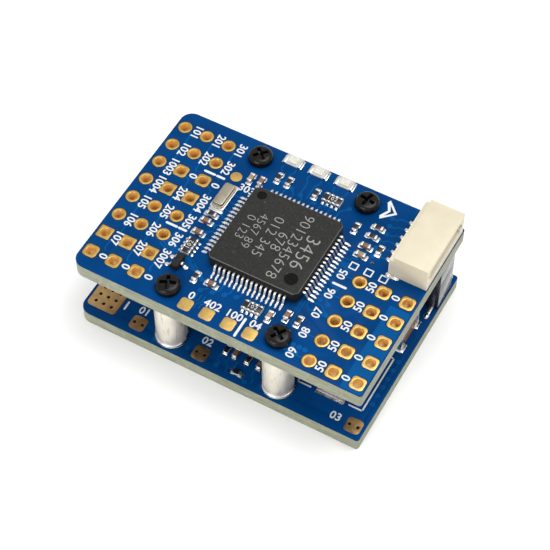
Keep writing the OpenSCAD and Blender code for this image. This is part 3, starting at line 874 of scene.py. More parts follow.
def wire_pads(node, shapes):
    """The gold pads with their plated holes, and the bare gap in the mask round each."""
    bm = bmesh.new()
    rows = shapes.split()
    places = solids(node)
    corners = [CORNERS[rows[i // 3][i % 3]] * SHORT_OF_ROUND for i in range(len(places))]
    for (low, high), corner in zip(places, corners):
        centre = (low + high) / 2
        width = high.x - low.x
        join(bm, eyelet(width, corner * width / 2, WIRE_HOLE, low.z, high.z - 0.012),
             at(centre.x, centre.y, 0))
    low, high = box_mm(node)
    # Walls deep in the holes take the lighter hole gold, which is partly painted light inside the
    # holes.
    for face in bm.faces:
        deep = high.z - 0.05 > face.calc_center_median().z > low.z + 0.05
        face.material_index = int(deep and abs(face.normal.z) < 0.5)
    for (start, end), corner in zip(places, corners):
        centre = (start + end) / 2
        gap = end.x - start.x + 0.14
        outlines = [round_square(gap, gap, corner * gap / 2), round_outline((0, 0), 0.6, 36)]
        for bottom in (low.z + 0.03, high.z - 0.042):
            drilled(bm, outlines, bottom, bottom + 0.012, material=2,
                    place=at(centre.x, centre.y, 0))
    piece(bm, node.replace("hole_pads", "plated_wire_pads"), CONTROL,
          ("gold", "barrel_painted_light", "bare"), [node])


def flat_pads(node, corner, body, key, holes=()):
    """Flat pads with round corners, each with the same small holes down to a dark floor, which is
    painted shade for the depth of each via.
    """
    rim, hole = 0.008, 0.175
    bm = bmesh.new()
    for low, high in solids(node):
        centre = (low + high) / 2
        size = high - low
        outlines = [round_square(size.x - 2 * rim, size.y - 2 * rim, corner)]
        outlines += [round_outline(spot, hole + rim) for spot in holes]
        drilled(bm, outlines, low.z, high.z, rim, place=at(centre.x, centre.y, 0))
        for x, y in holes:
            # Dark disc at the foot of each hole: painted shade for the depth of the via.
            floor = plate(round_outline((0, 0), hole + 0.003), 0.012)
            join(bm, floor, at(centre.x + x, centre.y + y, low.z), 1)
    piece(bm, node.replace("_pad", "_pad_plating"), body, (key, "mark"), [node])


# ---- Print on the boards ----

# Height of a digit as a share of the font's size
DIGIT_SHARE = 0.72
# How many digits the number beside each left wire pad has, by row from the back
LABEL_DIGITS = "333 333 411 434 333 333 334 111"
# Both ends of each printed line on the controller board: x, y, x, y
PRINTED_LINES = ((-10.1, 5.0, -9.0, 5.0), (-8.7, 5.0, -7.95, 5.0),
                 (-10.1, -2.4, -9.0, -2.4), (-8.7, -2.4, -7.95, -2.4),
                 (7.5, -0.9, 8.8, -0.9), (2.25, -8.6, 2.25, -10.7))
# Direction arrow beside the back right screw
ARROW = ((9.14, 9.35), (7.82, 10.62), (7.64, 10.25), (8.12, 9.35), (7.64, 8.45),
         (7.82, 8.08))
ARROW_HOLLOW = ((8.82, 9.35), (8.03, 10.12), (8.4, 9.35), (8.03, 8.58))


def digits(target, text, height, x, y, z, turn, material=0, weight=0.02, thick=0.015,
           spacing=1.0):
    """Numbers drawn with the built-in font, as a thin solid."""
    curve = bpy.data.curves.new("digits", "FONT")
    curve.body = text
    curve.size = height / DIGIT_SHARE
    curve.align_x = "CENTER"
    curve.align_y = "CENTER"
    curve.offset = weight
    curve.extrude = thick / 2
    curve.resolution_u = 3
    curve.space_character = spacing
    join(target, mesh_of_curve(curve), at(x, y, z + thick / 2, turn), material)


def board_number(target, text, x, y, z, turn=0):
    """A number in the print of a board."""
    looks = bpy.context.scene.fc_boards
    digits(target, text, looks.digit_height, x, y, z, turn, thick=looks.ink_height)


def bar(target, x0, y0, x1, y1, z, width=0.26):
    """A straight printed line with round ends."""
    length = math.hypot(x1 - x0, y1 - y0)
    outline = round_square(length + width, width, width / 2 - 0.001, 4)
    turn = math.degrees(math.atan2(y1 - y0, x1 - x0))
    thick = bpy.context.scene.fc_boards.ink_height
    join(target, plate(outline, thick), at((x0 + x1) / 2, (y0 + y1) / 2, z, turn))


def wire_pad_numbers(bm, z):
    """A number beside each wire pad of the controller board."""
    rows = LABEL_DIGITS.split()
    for i, box in enumerate(solids("hole_pads_left")):
        centre = middle(box)
        row, column = divmod(i, 3)
        text = {"1": "0", "3": f"{column + 1}0{row + 1}",
                "4": f"{column + 1}00{row + 1}"}[rows[row][column]]
        board_number(bm, text, centre.x + 1.36, centre.y, z, -90)
    for i, box in enumerate(solids("hole_pads_right")):
        centre = middle(box)
        row, column = divmod(i, 3)
        text = (f"{5 + row:02d}", "50", "0")[column]
        shift = (-1.85, -1.25, -1.2)[column]
        board_number(bm, text, centre.x + shift, centre.y, z, 90)


def upper_print():
    """Numbers, lines and signs on the controller board."""
    z = box_mm("upper_pcb")[1].z
    thick = bpy.context.scene.fc_boards.ink_height
    bm = bmesh.new()
    wire_pad_numbers(bm, z)
    for box, text in zip(solids("edge_pads"), ("0", "402", "100", "04")):
        centre = middle(box)
        board_number(bm, text, centre.x, centre.y + 1.13, z)
    spot = middle(solids("test_pad")[0])
    board_number(bm, "303", spot.x + 1.7, spot.y - 0.9, z)
    for ends in PRINTED_LINES:
        bar(bm, *ends, z)
    drilled(bm, [ARROW, ARROW_HOLLOW], z, z + thick)
    for i in range(3):
        drilled(bm, [round_square(0.86, 0.86, 0.08), round_square(0.6, 0.6, 0.03)],
                z, z + thick, place=at(8.3 + 1.6 * i, 1.78, 0))
    piece(bm, "upper_board_print", CONTROL, ("ink",))


def lower_print():
    """Numbers and outlines on the power board."""
    z = box_mm("lower_pcb")[1].z
    bm = bmesh.new()
    pads = sorted(solids("lower_wire_pads"), key=lambda box: box[0].x)
    shifts = ((-0.2, 1.5), (-0.1, 1.5), (-2.0, 0.1))
    for box, text, (x, y) in zip(pads, ("01", "02", "03"), shifts):
        centre = middle(box)
        board_number(bm, text, centre.x + x, centre.y + y, z)
    bar(bm, -11.7, -7.85, -11.7, -8.75, z, 0.2)
    low, high = box_mm("power_inductor")
    left, right = low.x - 0.55, high.x + 0.45
    front, back = low.y - 0.3, high.y + 0.3
    for start, end in (((left, front), (left + 1.4, front)),
                       ((right - 1.4, front), (right, front)),
                       ((right, front), (right, back)), ((left, front), (left, back)),
                       ((right - 0.5, back), (right, back)),
                       ((left, back), (left + 0.5, back))):
        bar(bm, *start, *end, z, 0.16)
    piece(bm, "lower_board_print", POWER, ("ink",))


# ---- Chips ----

def bent_lead(run, rise, thick, width):
    """A gull-wing lead: out from the body, down, and along the board."""
    half = thick / 2
    points = [(-0.05, rise), (0.27 * run, rise), (0.55 * run, thick), (run, thick),
              (run, 0), (0.46 * run, 0), (0.19 * run, rise - thick), (-0.05, rise - thick)]
    bm = prism(points, width)
    bends = [e for e in bm.edges
             if abs(e.verts[0].co.y - e.verts[1].co.y) > width / 2
             and 0.1 * run < e.verts[0].co.x < 0.9 * run]
    bmesh.ops.bevel(bm, geom=bends, offset=half, segments=3, affect="EDGES", profile=0.5,
                    material=-1, clamp_overlap=True)
    return soften(bm, 0.012, 1, 50)


# Rows of the processor's marking: place along X, text and height
MARKING = ((-3.4, "0 123", 0.95), (-2.35, "4567 89", 0.95), (-0.9, "012 345", 1.1),
           (0.35, "678", 1.1), (1.55, "9012345678", 1.15), (3.1, "3456", 1.5))
# Round mould marks: place from the middle, radius
MOULD_MARKS = ((-3.8, 4.0, 0.5), (3.5, -3.4, 0.7))


def processor_body():
    """The moulded body with rounded rims, its marking and the floors of its mould marks. The rims
    are painted lighter as a highlight and the sides darker as shade.
    """
    low, high = box_mm("mcu_body")
    centre = (low + high) / 2
    bm = shape_of("mcu_body")
    rim = (high.x - low.x) / 2 - 0.4
    outer = []
    for edge in sharp_edges(bm, 25):
        spot = (edge.verts[0].co + edge.verts[1].co) / 2 - centre
        if max(abs(spot.x), abs(spot.y)) > rim:
            outer.append(edge)
    bmesh.ops.bevel(bm, geom=outer, offset=0.09, segments=3, affect="EDGES", profile=0.5,
                    material=-1, clamp_overlap=True)
    # Sloping rim faces get the lighter resin as a painted highlight; upright sides get the darker
    # resin as painted shade.
    top, text_slot, floor_slot, painted_highlight_slot, painted_shade_slot = range(5)
    for face in bm.faces:
        face.material_index = top
        if face.normal.z < 0.3:
            face.material_index = painted_shade_slot
        elif face.normal.z < 0.93:
            face.material_index = painted_highlight_slot
    for x, text, height in MARKING:
        digits(bm, text, height, centre.x + x, centre.y - 0.1, high.z, -90, text_slot,
               weight=-0.022, thick=0.006, spacing=1.05)
    for x, y, r in MOULD_MARKS:
        disc = turned([(0.0, -0.02), (r - 0.02, -0.02), (r - 0.02, 0.006), (0.0, 0.006)], 32)
        join(bm, disc, at(centre.x + x, centre.y + y, high.z - 0.06), floor_slot)
    piece(bm, "processor_body", CONTROL,
          ("processor", "marking", "mark", "processor_rim_painted_highlight", "processor_side_painted_shade"), ["mcu_body"])


def processor_leads():
    """The bent leads on all four sides and the solder under their feet."""
    low, high = box_mm("mcu_body")
    centre = (low + high) / 2
    lead_low, lead_high = box_mm("mcu_leads")
    board = lead_low.z
    run = (lead_high.x - lead_low.x - (high.x - low.x)) / 2
    leads, joints = bmesh.new(), bmesh.new()
    for turn in range(4):
        for i in range(LEADS_PER_SIDE):
            along = (i - (LEADS_PER_SIDE - 1) / 2) * LEAD_PITCH
            place = (at(centre.x, centre.y, board, 90 * turn)
                     @ at((high.x - low.x) / 2, along, 0))
            join(leads, bent_lead(run, lead_high.z - board, LEAD_THICK, LEAD_WIDTH),
                 place @ at(0, 0, 0.02))
            join(joints, dome(0.3, 0.135, 0.1, 3, 10),
                 place @ at(run - 0.08, 0, 0))
    piece(leads, "processor_leads", CONTROL, ("tin",), ["mcu_leads"])
    piece(joints, "processor_solder", CONTROL, ("solder",))


def end_fillet(width, reach, height):
    """Solder that climbs the end of a chip part, hollow like a real fillet."""
    curve = [(reach * (1 - math.sin(math.radians(a))), height * (1 - math.cos(math.radians(a))))
             for a in (0, 18, 36, 54, 72, 90)]
    return prism([(0, 0)] + curve, width, 0.03, 2)


def chip_part(shapes, size, turn, place, look):
    """One two-ended part, added to the four bmeshes of shapes: body, base, ends, solder."""
    length, width, height = size
    end = length * (0.23 if length < 1.5 else 0.2)
    put = at(place.x, place.y, place.z, turn)
    body = length - 2 * end + 0.02
    if look == "resistor":
        base, glaze, bevel = height * 0.72, height * 0.2, 0.015
        join(shapes["base"], standing_brick((body, width - 0.03, base), bevel, 0.03), put)
        join(shapes["body"], standing_brick((body, width - 0.05, glaze), bevel, 0.03 + base),
             put)
    else:
        block = standing_brick((body, width - 0.03, height - 0.05), 0.03, 0.03)
        join(shapes["body"], block, put)
    half = length / 2
    for side in (0, 180):
        spin = put @ at(0, 0, 0, side)
        cap = brick((half - end, -width / 2, 0.02), (half, width / 2, height), 0.04, 3)
        join(shapes["ends"], cap, spin)
        fillet = end_fillet(width * 1.02, 0.27 * min(width, 1.2), height * 0.82)
        join(shapes["solder"], fillet, spin @ at(half - 0.01, 0, 0.01))
        pad = plate(round_square(end + 0.36, width * 1.22, 0.08, 3), 0.03, 0.01)
        join(shapes["solder"], pad, spin @ at(half - end / 2 + 0.08, 0, 0))


# Length, width and height of the two-ended parts and of the arrays
SMALL_RESISTOR = (1.0, 0.5, 0.35)
SMALL_CAPACITOR = (1.0, 0.5, 0.5)
FILTER_CAPACITOR = (3.2, 1.6, 1.6)
BULK_CAPACITOR = (3.8, 2.5, 2.3)
ARRAY_BASE = (2.0, 0.92, 0.3)
ARRAY_GLAZE = (1.94, 0.7, 0.08)
# Name, body and metal ends of each group, then the node, look, finish, slot and size of
# each kind of part in it
CHIP_GROUPS = (
    ("upper", CONTROL, "chip_ends", (
        ("resistors", "resistor", "glaze", "black_glaze", SMALL_RESISTOR),
        ("brown_capacitors", "capacitor", "brown", "brown_ceramic", SMALL_CAPACITOR),
        ("tan_capacitors", "capacitor", "tan", "tan_ceramic", SMALL_CAPACITOR))),
    ("lower", POWER, "lower_chip_ends", (
        ("lower_resistors", "resistor", "glaze", "black_glaze", SMALL_RESISTOR),
        ("lower_capacitors", "capacitor", "brown", "brown_ceramic", SMALL_CAPACITOR))),
    ("filter", POWER, "filter_capacitor_ends", (
        ("filter_capacitors", "capacitor", "brown", "brown_ceramic", FILTER_CAPACITOR),)),
    ("bulk", POWER, "bulk_capacitor_ends", (
        ("bulk_capacitor", "capacitor", "brown", "brown_ceramic", BULK_CAPACITOR),)),
)


def chip_group(name, body, ends_node, kinds):
    """All the two-ended parts of one group, kind by kind."""
    ends, joints, bases = bmesh.new(), bmesh.new(), bmesh.new()
    board = box_mm(ends_node)[0].z
    for node, look, key, slot, size in kinds:
        parts = bmesh.new()
        for low, high in solids(node):
            turn = 0 if high.x - low.x > high.y - low.y else 90
            centre = (low + high) / 2
            centre.z = board
            chip_part({"body": parts, "base": bases, "ends": ends, "solder": joints},
                      size, turn, centre, look)
        piece(parts, node + "_bodies", body, (key,), [node])
    if bases.verts:
        piece(bases, name + "_resistor_bases", body, ("alumina",))
    else:
        bases.free()
    piece(ends, name + "_metal_ends", body, ("tin",), [ends_node])
    piece(joints, name + "_solder", body, ("solder",))


def resistor_arrays():
    """Black glazed arrays with four terminals on each long side."""
    bodies, bases, ends, joints, marks = [bmesh.new() for _ in range(5)]
    for low, high in solids("resistor_arrays"):
        centre = (low + high) / 2
        turn = 0 if high.x - low.x > high.y - low.y else 90
        put = at(centre.x, centre.y, box_mm("array_terminals")[0].z, turn)
        join(bases, standing_brick(ARRAY_BASE, 0.02, 0.03), put)
        join(bodies, standing_brick(ARRAY_GLAZE, 0.02, 0.03 + ARRAY_BASE[2]), put)
        for i in range(4):
            for side in (-1, 1):
                x, y = (i - 1.5) * ARRAY_PITCH, side * 0.42
                join(ends, brick((x - 0.14, y - 0.1, 0.02), (x + 0.14, y + 0.1, 0.42), 0.04),
                     put)
                spin = put @ at(x, side * 0.52, 0, 90 * side)
                join(joints, end_fillet(0.26, 0.3, 0.32), spin)
        mark = bmesh.new()
        digits(mark, "102", 0.46, 0, 0, 0.41, 0, weight=-0.004, thick=0.012, spacing=1.15)
        join(marks, mark, put)
    piece(bases, "array_bases", CONTROL, ("alumina",))
    piece(bodies, "array_glaze", CONTROL, ("glaze",), ["resistor_arrays"])
    piece(ends, "array_metal_ends", CONTROL, ("tin",), ["array_terminals"])
    piece(joints, "array_solder", CONTROL, ("solder",))
    piece(marks, "array_numbers", CONTROL, ("ink",))


def transistor():
    """Small three-leg transistor."""
    low, high = box_mm("transistor_body")
    centre = (low + high) / 2
    x, y = (high.x - low.x) / 2, (high.y - low.y) / 2
    height = high.z - low.z
    bm = prism([(-x + 0.04, 0), (x - 0.04, 0), (x, height * 0.5), (x - 0.07, height),
                (-x + 0.07, height), (-x, height * 0.5)], 2 * y, 0.03)
    board = box_mm("transistor_leads")[0].z
    bm.transform(at(centre.x, centre.y, low.z))
    piece(bm, "transistor_moulding", CONTROL, ("resin",),
          ["transistor_body"])
    leads, joints = bmesh.new(), bmesh.new()
    for place in solids("transistor_leads"):
        spot = middle(place)
        right = spot.x > centre.x
        turn = 0 if right else 180
        start = centre.x + (x if right else -x)
        put = at(start, spot.y, board, turn)
        join(leads, bent_lead(0.5, 0.45, 0.11, 0.32), put @ at(0, 0, 0.02))
        join(joints, dome(0.3, 0.24, 0.12), put @ at(0.46, 0, 0))
    piece(leads, "transistor_legs", CONTROL, ("tin",), ["transistor_leads"])
    piece(joints, "transistor_solder", CONTROL, ("solder",))


def crystal():
    """Metal lid on its flange, with solder at both ends."""
    low, high = box_mm("crystal_base")
    centre = (low + high) / 2
    size = high - low
    bm = bmesh.new()
    join(bm, plate(round_square(size.x, size.y, 0.12), size.z, 0.03),
         at(centre.x, centre.y, low.z))
    piece(bm, "crystal_flange", CONTROL, ("tin",), ["crystal_base"])
    low, high = box_mm("crystal_can")
    size = high - low
    can = bmesh.new()
    join(can, plate(round_square(size.x, size.y, 0.3), size.z * 0.4, 0.05, segments=3),
         at(centre.x, centre.y, low.z))
    join(can, plate(round_square(size.x - 0.2, size.y - 0.22, 0.26), size.z * 0.68, 0.1,
                    segments=4), at(centre.x, centre.y, low.z + size.z * 0.32))
    piece(can, "crystal_lid", CONTROL, ("can",), ["crystal_can"])
    joints = bmesh.new()
    for side in (1, -1):
        pad = plate(round_square(1.5, 0.5, 0.1, 3), 0.03, 0.01)
        join(joints, pad, at(centre.x, centre.y + side * 1.62, box_mm("upper_pcb")[1].z))
    piece(joints, "crystal_solder", CONTROL, ("solder",))


# Sizes of a lamp: its base, and the foot, top and depth of its lens
LAMP_BASE = (1.5, 1.14, 0.2)
LENS_OUTLINE = ((-0.58, 0), (0.58, 0), (0.46, 0.22), (-0.46, 0.22))
LENS_DEPTH = 0.86


def lamps():
    """Side by side lamps: a white base, a milky lens and a plated terminal at each end."""
    bases, lenses, ends, joints = [bmesh.new() for _ in range(4)]
    board = box_mm("lamp_bases")[0].z
    for place in solids("lamp_bases"):
        centre = middle(place)
        put = at(centre.x, centre.y, board)
        join(bases, standing_brick(LAMP_BASE, 0.02, 0.02), put)
        lens = prism(LENS_OUTLINE, LENS_DEPTH, 0.05, 3)
        join(lenses, lens, put @ at(0, 0, 0.21))
        for side in (0, 180):
            spin = put @ at(0, 0, 0, side)
            join(ends, brick((0.68, -0.58, 0.01), (0.93, 0.58, 0.245), 0.03), spin)
            join(joints, end_fillet(1.1, 0.17, 0.16), spin @ at(0.92, 0, 0.01))
    piece(bases, "lamp_boards", CONTROL, ("white",), ["lamp_bases"])
    piece(lenses, "lamp_domes", CONTROL, ("lens",), ["lamp_lenses"])
    piece(ends, "lamp_metal_ends", CONTROL, ("tin",), ["lamp_terminals"])
    piece(joints, "lamp_solder", CONTROL, ("solder",))


# ---- Wire connector and board header ----

def wire_connector():
    """Cream connector with its contacts, its two anchors and their solder."""
    for node, slot, key, bevel in (("connector_housing", "cream_plastic", "cream", 0.05),
                                   ("connector_contacts", "tinned_lead", "tin", 0.03),
                                   ("connector_tabs", "tinned_lead", "tin", 0.03)):
        soft_copy(node, CONTROL, key, bevel, "wire_" + node)
    joints = bmesh.new()
    for place in solids("connector_contacts"):
        low = place[0]
        centre = middle(place)
        join(joints, dome(0.42, 0.26, 0.24), at(low.x + 0.3, centre.y, low.z))
    for place in solids("connector_tabs"):
        low = place[0]
        centre = middle(place)
        join(joints, dome(0.6, 0.36, 0.26), at(centre.x, centre.y, low.z))
        join(joints, dome(0.42, 0.34, 0.34), at(low.x - 0.1, centre.y, low.z))
    piece(joints, "wire_connector_solder", CONTROL, ("solder",))


def board_header():
    """Socket and plug between the boards, their metal and the solder at the feet."""
    for node, body in (("header_socket", POWER), ("header_plug", CONTROL)):
        soft_copy(node, body, "header", 0.04, node + "_moulding")
    soft_copy("header_contacts", POWER, "tin", 0.02, "header_contacts_metal")
    soft_copy("header_pins", CONTROL, "gold", 0.02, "header_pins_metal")
    joints = bmesh.new()
    for place in solids("header_contacts"):
        low, high = place
        centre = middle(place)
        end = high.y if centre.y > middle(box_mm("header_socket")).y else low.y
        join(joints, dome(0.3, 0.42, 0.2),
             at(centre.x, end + (-0.25 if end > centre.y else 0.25), low.z))
    piece(joints, "header_solder", POWER, ("solder",))


# ---- Power parts ----

def moulded_coil(node, straps, name):
    """Pressed inductor with a bent metal strap at each end."""
    low, high = box_mm(node)
    size, centre = high - low, (low + high) / 2
    bm = bmesh.new()
    join(bm, plate(round_square(size.x, size.y, 0.45), size.z, 0.12, segments=3),
         at(centre.x, centre.y, low.z))
    piece(bm, name, POWER, ("ferrite",), [node])
    metal, joints = shape_of(straps), bmesh.new()
    soften(metal, 0.03, 2, 40)
    for place in solids(straps):
        spot = middle(place)
        out = -1 if spot.y < centre.y else 1
        edge = place[0].y if out < 0 else place[1].y
        wide = place[1].x - place[0].x
        skirt = prism([(0, 0), (0.3, 0), (0.06, 0.12), (0, 0.3)], wide - 0.1, 0.03)
        join(joints, skirt, at(spot.x, edge - out * 0.32, place[0].z, 90 * out))
    piece(metal, straps + "_metal", POWER, ("tin",), [straps])
    piece(joints, name + "_solder", POWER, ("solder",))


def leaded_chip(body_node, lead_node, body, name):
    """Moulded chips and their leads, from the CAD shapes with softened edges."""
    soft_copy(body_node, body, "resin", 0.06, name)
    soft_copy(lead_node, body, "tin", 0.015, name + "_leads", 1, 50)


def soft_copy(node, body, key, bevel=0.04, name=None, segments=2, angle=40):
    """The CAD shape with rounded edges and a finish."""
    bm = shape_of(node)
    soften(bm, bevel, segments, angle)
    piece(bm, name or node + "_finished", body, (key,), [node])


# ---- Standoffs and screws ----

BORE_RADIUS = 0.85
BORE_DEPTH = 4.4
THREAD_RADIUS = 0.8
THREAD_DEPTH = 0.16
THREAD_PITCH = 0.35
PLAIN_NECK = 1.7
CROSS_ARM = 0.8
CROSS_HALF_WIDTH = 0.19
CROSS_DEPTH = 0.58


def standoffs():
    """Tin-plated posts with a bored top, and the solder round their feet."""
    bm = bmesh.new()
    for low, high in solids("standoffs"):
        centre = (low + high) / 2
        radius = (high.x - low.x) / 2
        height = high.z - low.z
        floor = height - BORE_DEPTH
        bore = [(0.0, floor), (BORE_RADIUS, floor), (BORE_RADIUS, height - 0.12),
                (BORE_RADIUS + 0.1, height)]
        side = [(radius - 0.12, height), (radius, height - 0.1), (radius, 0.6)]
        foot = [(radius - 0.02, 0.4), (radius - 0.07, 0.22), (radius - 0.16, 0.08),
                (radius - 0.16, 0.0), (0.0, 0.0)]
        join(bm, turned(bore + side + foot, 56), at(centre.x, centre.y, low.z))
    piece(bm, "standoff_posts", POWER, ("standoff",), ["standoffs"])
    rings = bmesh.new()
    for low, high in solids("standoff_solder"):
        centre = (low + high) / 2
        post = (high.x - low.x) / 2 - 0.5
        hidden = post - 0.05
        spread = 0.26
        height = 0.7 * (high.z - low.z)
        curve = [(post + spread - spread * math.sin(math.radians(a)),
                  0.01 + height * (1 - math.cos(math.radians(a)))) for a in range(0, 91, 15)]
        ring = [(hidden, 0.0), (post + spread, 0.0), *curve, (hidden, height), (hidden, 0.0)]
        join(rings, turned(ring, 48), at(centre.x, centre.y, low.z))
    piece(rings, "standoff_solder_rings", POWER, ("solder",), ["standoff_solder"])


def threaded_shank(length):
    """Thread drawn as rings of crests and roots below a plain neck, with a blunt tip."""
    root = THREAD_RADIUS - THREAD_DEPTH
    profile = [(0.0, -length), (root - 0.1, -length)]
    z = -length + 0.15
    while z < -PLAIN_NECK:
        profile += [(root, z), (THREAD_RADIUS, z + THREAD_PITCH / 2)]
        z += THREAD_PITCH
    profile += [(root, z), (THREAD_RADIUS, -PLAIN_NECK + 0.15), (THREAD_RADIUS, 0.02),
                (0.0, 0.02)]
    return turned(profile, 28)


def screws():
    """Four pan-head screws, each with its cross turned another way."""
    top = box_mm("upper_pcb")[1].z
    for number in range(1, 5):
        node = f"screw_{number}"
        low, high = box_mm(node)
        centre = (low + high) / 2
        bm = bmesh.new()
        head = turned_head((high.x - low.x) / 2, high.z - top)
        join(bm, head, at(centre.x, centre.y, top, 14 + 33 * number))
        join(bm, threaded_shank(top - low.z), at(centre.x, centre.y, top))
        piece(bm, f"pan_screw_{number}", node, ("screw",), [node])


def turned_head(radius, height):
    """A pan head with a cross recess, in rings from the recess floor out to the rim."""
    bm = bmesh.new()
    depth = CROSS_DEPTH
    turns = sorted([2 * math.pi * i / 64 for i in range(64)]
                   + [q * math.pi / 2 + s * math.atan2(CROSS_HALF_WIDTH, CROSS_ARM)
                      for q in range(4) for s in (-1, 1)])

    def cross(angle, grow=0.0):
        """How far the recess reaches from the middle, in one direction."""
        x, y = abs(math.cos(angle)) + 1e-6, abs(math.sin(angle)) + 1e-6
        wide, thin = CROSS_ARM + grow, CROSS_HALF_WIDTH + grow
        return max(min(wide / x, thin / y), min(wide / y, thin / x))

    def crown(r):
        """Height of the head at a distance from its axis."""
        share = r / radius
        return height - 0.14 * share ** 2 - 0.26 * max(0.0, (share - 0.78) / 0.22) ** 2

    def ring(reach, z=None):
        """A closed loop of edges at one height, or on the crown of the head."""
        verts = [bm.verts.new((reach(a) * math.cos(a), reach(a) * math.sin(a),
                               crown(reach(a)) if z is None else z)) for a in turns]
        return [bm.edges.new(pair) for pair in zip(verts, verts[1:] + verts[:1])]

    def between(share):
        """Goes from the recess's outline to the round rim."""
        return lambda a: cross(a, 0.05) * (1 - share) + radius * share

    loops = [ring(lambda a: 0.62 * cross(a), height - depth),
             ring(lambda a: 0.86 * cross(a), height - depth + 0.06),
             ring(lambda a: cross(a, -0.01), height - 0.1),
             ring(lambda a: cross(a, 0.0)), ring(lambda a: cross(a, 0.03))]
    loops += [ring(between(share)) for share in (0.2, 0.45, 0.7, 0.85, 0.94, 1.0)]
    loops += [ring(lambda a: radius, 0.12), ring(lambda a: radius * 0.96, 0.0)]
    bmesh.ops.contextual_create(bm, geom=loops[0])
    bmesh.ops.contextual_create(bm, geom=loops[-1])
    for a, b in zip(loops, loops[1:]):
        bmesh.ops.bridge_loops(bm, edges=a + b)
    bmesh.ops.recalc_face_normals(bm, faces=bm.faces)
    return bm


# ---- Stage ----

# Name of each light, its share of the key power, its size and its place in mm
LIGHTS = (("key_light", 1.0, 130, (40, 50, 190)),
          ("front_light", 0.75, 120, (-30, -170, 110)),
          ("side_light", 0.1, 110, (190, -30, 60)))
LIGHT_AIM = (0, 0, 6)
# From the middle of the floor to its edge, in mm
FLOOR_REACH = 600


def area_light(name, power_mw, size_mm, place_mm):
    """A square soft light aimed at the stack."""
    light = bpy.data.lights.new(name, "AREA")
    light.energy = power_mw * MM
    light.size = size_mm * MM
    made = bpy.data.objects.new(name, light)
    bpy.context.scene.collection.objects.link(made)
    made.location = Vector(place_mm) * MM
    aim = Vector(LIGHT_AIM) - Vector(place_mm)
    made.rotation_euler = aim.to_track_quat("-Z", "Y").to_euler()


def build_stage():
    """Camera, floor, sky and three soft lights."""
    scene = bpy.context.scene
    stage = scene.fc_stage
    aim = Vector(stage.aim)
    flat = math.cos(stage.elevation)
    out = Vector((math.sin(stage.azimuth) * flat, -math.cos(stage.azimuth) * flat,
                  math.sin(stage.elevation)))
    camera = bpy.data.cameras.new("camera")
    camera.lens = stage.lens
    camera.sensor_width = 36.0
    camera.clip_start = 0.005
    camera.clip_end = 10.0
    holder = bpy.data.objects.new("camera", camera)
    scene.collection.objects.link(holder)
    holder.location = (aim + out * stage.distance) * MM
    holder.rotation_euler = (-out).to_track_quat("-Z", "Y").to_euler()
    scene.camera = holder

    bm = bmesh.new()
    bmesh.ops.create_grid(bm, x_segments=1, y_segments=1, size=FLOOR_REACH * MM)
    mesh = bpy.data.meshes.new("studio_floor")
    bm.to_mesh(mesh)
    bm.free()
    mesh.materials.append(plain_floor(stage))
    floor = bpy.data.objects.new("studio_floor", mesh)
    scene.collection.objects.link(floor)

    world = bpy.data.worlds.new("studio")
    world.use_nodes = True
    sky = world.node_tree.nodes["Background"]
    sky.inputs["Color"].default_value = (1, 1, 1, 1)
    sky.inputs["Strength"].default_value = stage.sky
    scene.world = world
    scene.view_settings.view_transform = "Standard"
    for name, share, size, place in LIGHTS:
        area_light(name, stage.key * share, size, place)


# ---- Operators ----

class FC_OT_stage(bpy.types.Operator):
    """Camera, floor and lights"""
    bl_idname = "fc.stage"
    bl_label = "Studio"
    bl_options = {"REGISTER", "UNDO"}

    def execute(self, context):
        build_stage()
        return {"FINISHED"}


class FC_OT_boards(bpy.types.Operator):
    """Both circuit boards with their mask and cut edges"""
    bl_idname = "fc.boards"
    bl_label = "Circuit boards"
    bl_options = {"REGISTER", "UNDO"}

    def execute(self, context):
        for node, body in BOARDS:
            board_slab(node, body)
        return {"FINISHED"}


class FC_OT_traces(bpy.types.Operator):
    """Copper traces and covered vias under the mask"""
    bl_idname = "fc.traces"
    bl_label = "Copper traces"
    bl_options = {"REGISTER", "UNDO"}

    def execute(self, context):
        upper_traces()
        lower_traces()
        return {"FINISHED"}


class FC_OT_wire_pads(bpy.types.Operator):
    """Plated holes for wires"""
    bl_idname = "fc.wire_pads"
    bl_label = "Wire pads"
    bl_options = {"REGISTER", "UNDO"}

    def execute(self, context):
        wire_pads("hole_pads_left", LEFT_SHAPES)
        wire_pads("hole_pads_right", RIGHT_SHAPES)
        return {"FINISHED"}


class FC_OT_flat_pads(bpy.types.Operator):
    """Flat pads of both boards"""
    bl_idname = "fc.flat_pads"
    bl_label = "Flat pads"
    bl_options = {"REGISTER", "UNDO"}

    def execute(self, context):
        flat_pads("edge_pads", 0.3, CONTROL, "gold")
        flat_pads("test_pad", 0.59, CONTROL, "gold")
        grid = [(x * VIA_PITCH, y * VIA_PITCH) for x in (-1, 0, 1) for y in (-1, 0, 1)]
        pair = [(-VIA_PITCH / 2, 0.0), (VIA_PITCH / 2, 0.0)]
        # Power board pads take the darker gold, which is painted shade from the board above.
        flat_pads("battery_pad", 0.4, POWER, "aged_gold", grid)
        flat_pads("lower_wire_pads", 0.4, POWER, "aged_gold", pair)
        dress("underside_pads", "aged_gold")
        return {"FINISHED"}


class FC_OT_print(bpy.types.Operator):
    """White numbers and lines printed on the boards"""
    bl_idname = "fc.print"
    bl_label = "Board print"
    bl_options = {"REGISTER", "UNDO"}

    def execute(self, context):
        upper_print()
        lower_print()
        return {"FINISHED"}


class FC_OT_processor(bpy.types.Operator):
    """Processor body, leads and solder"""
    bl_idname = "fc.processor"
    bl_label = "Processor"
    bl_options = {"REGISTER", "UNDO"}

    def execute(self, context):
        processor_body()
        processor_leads()
        return {"FINISHED"}


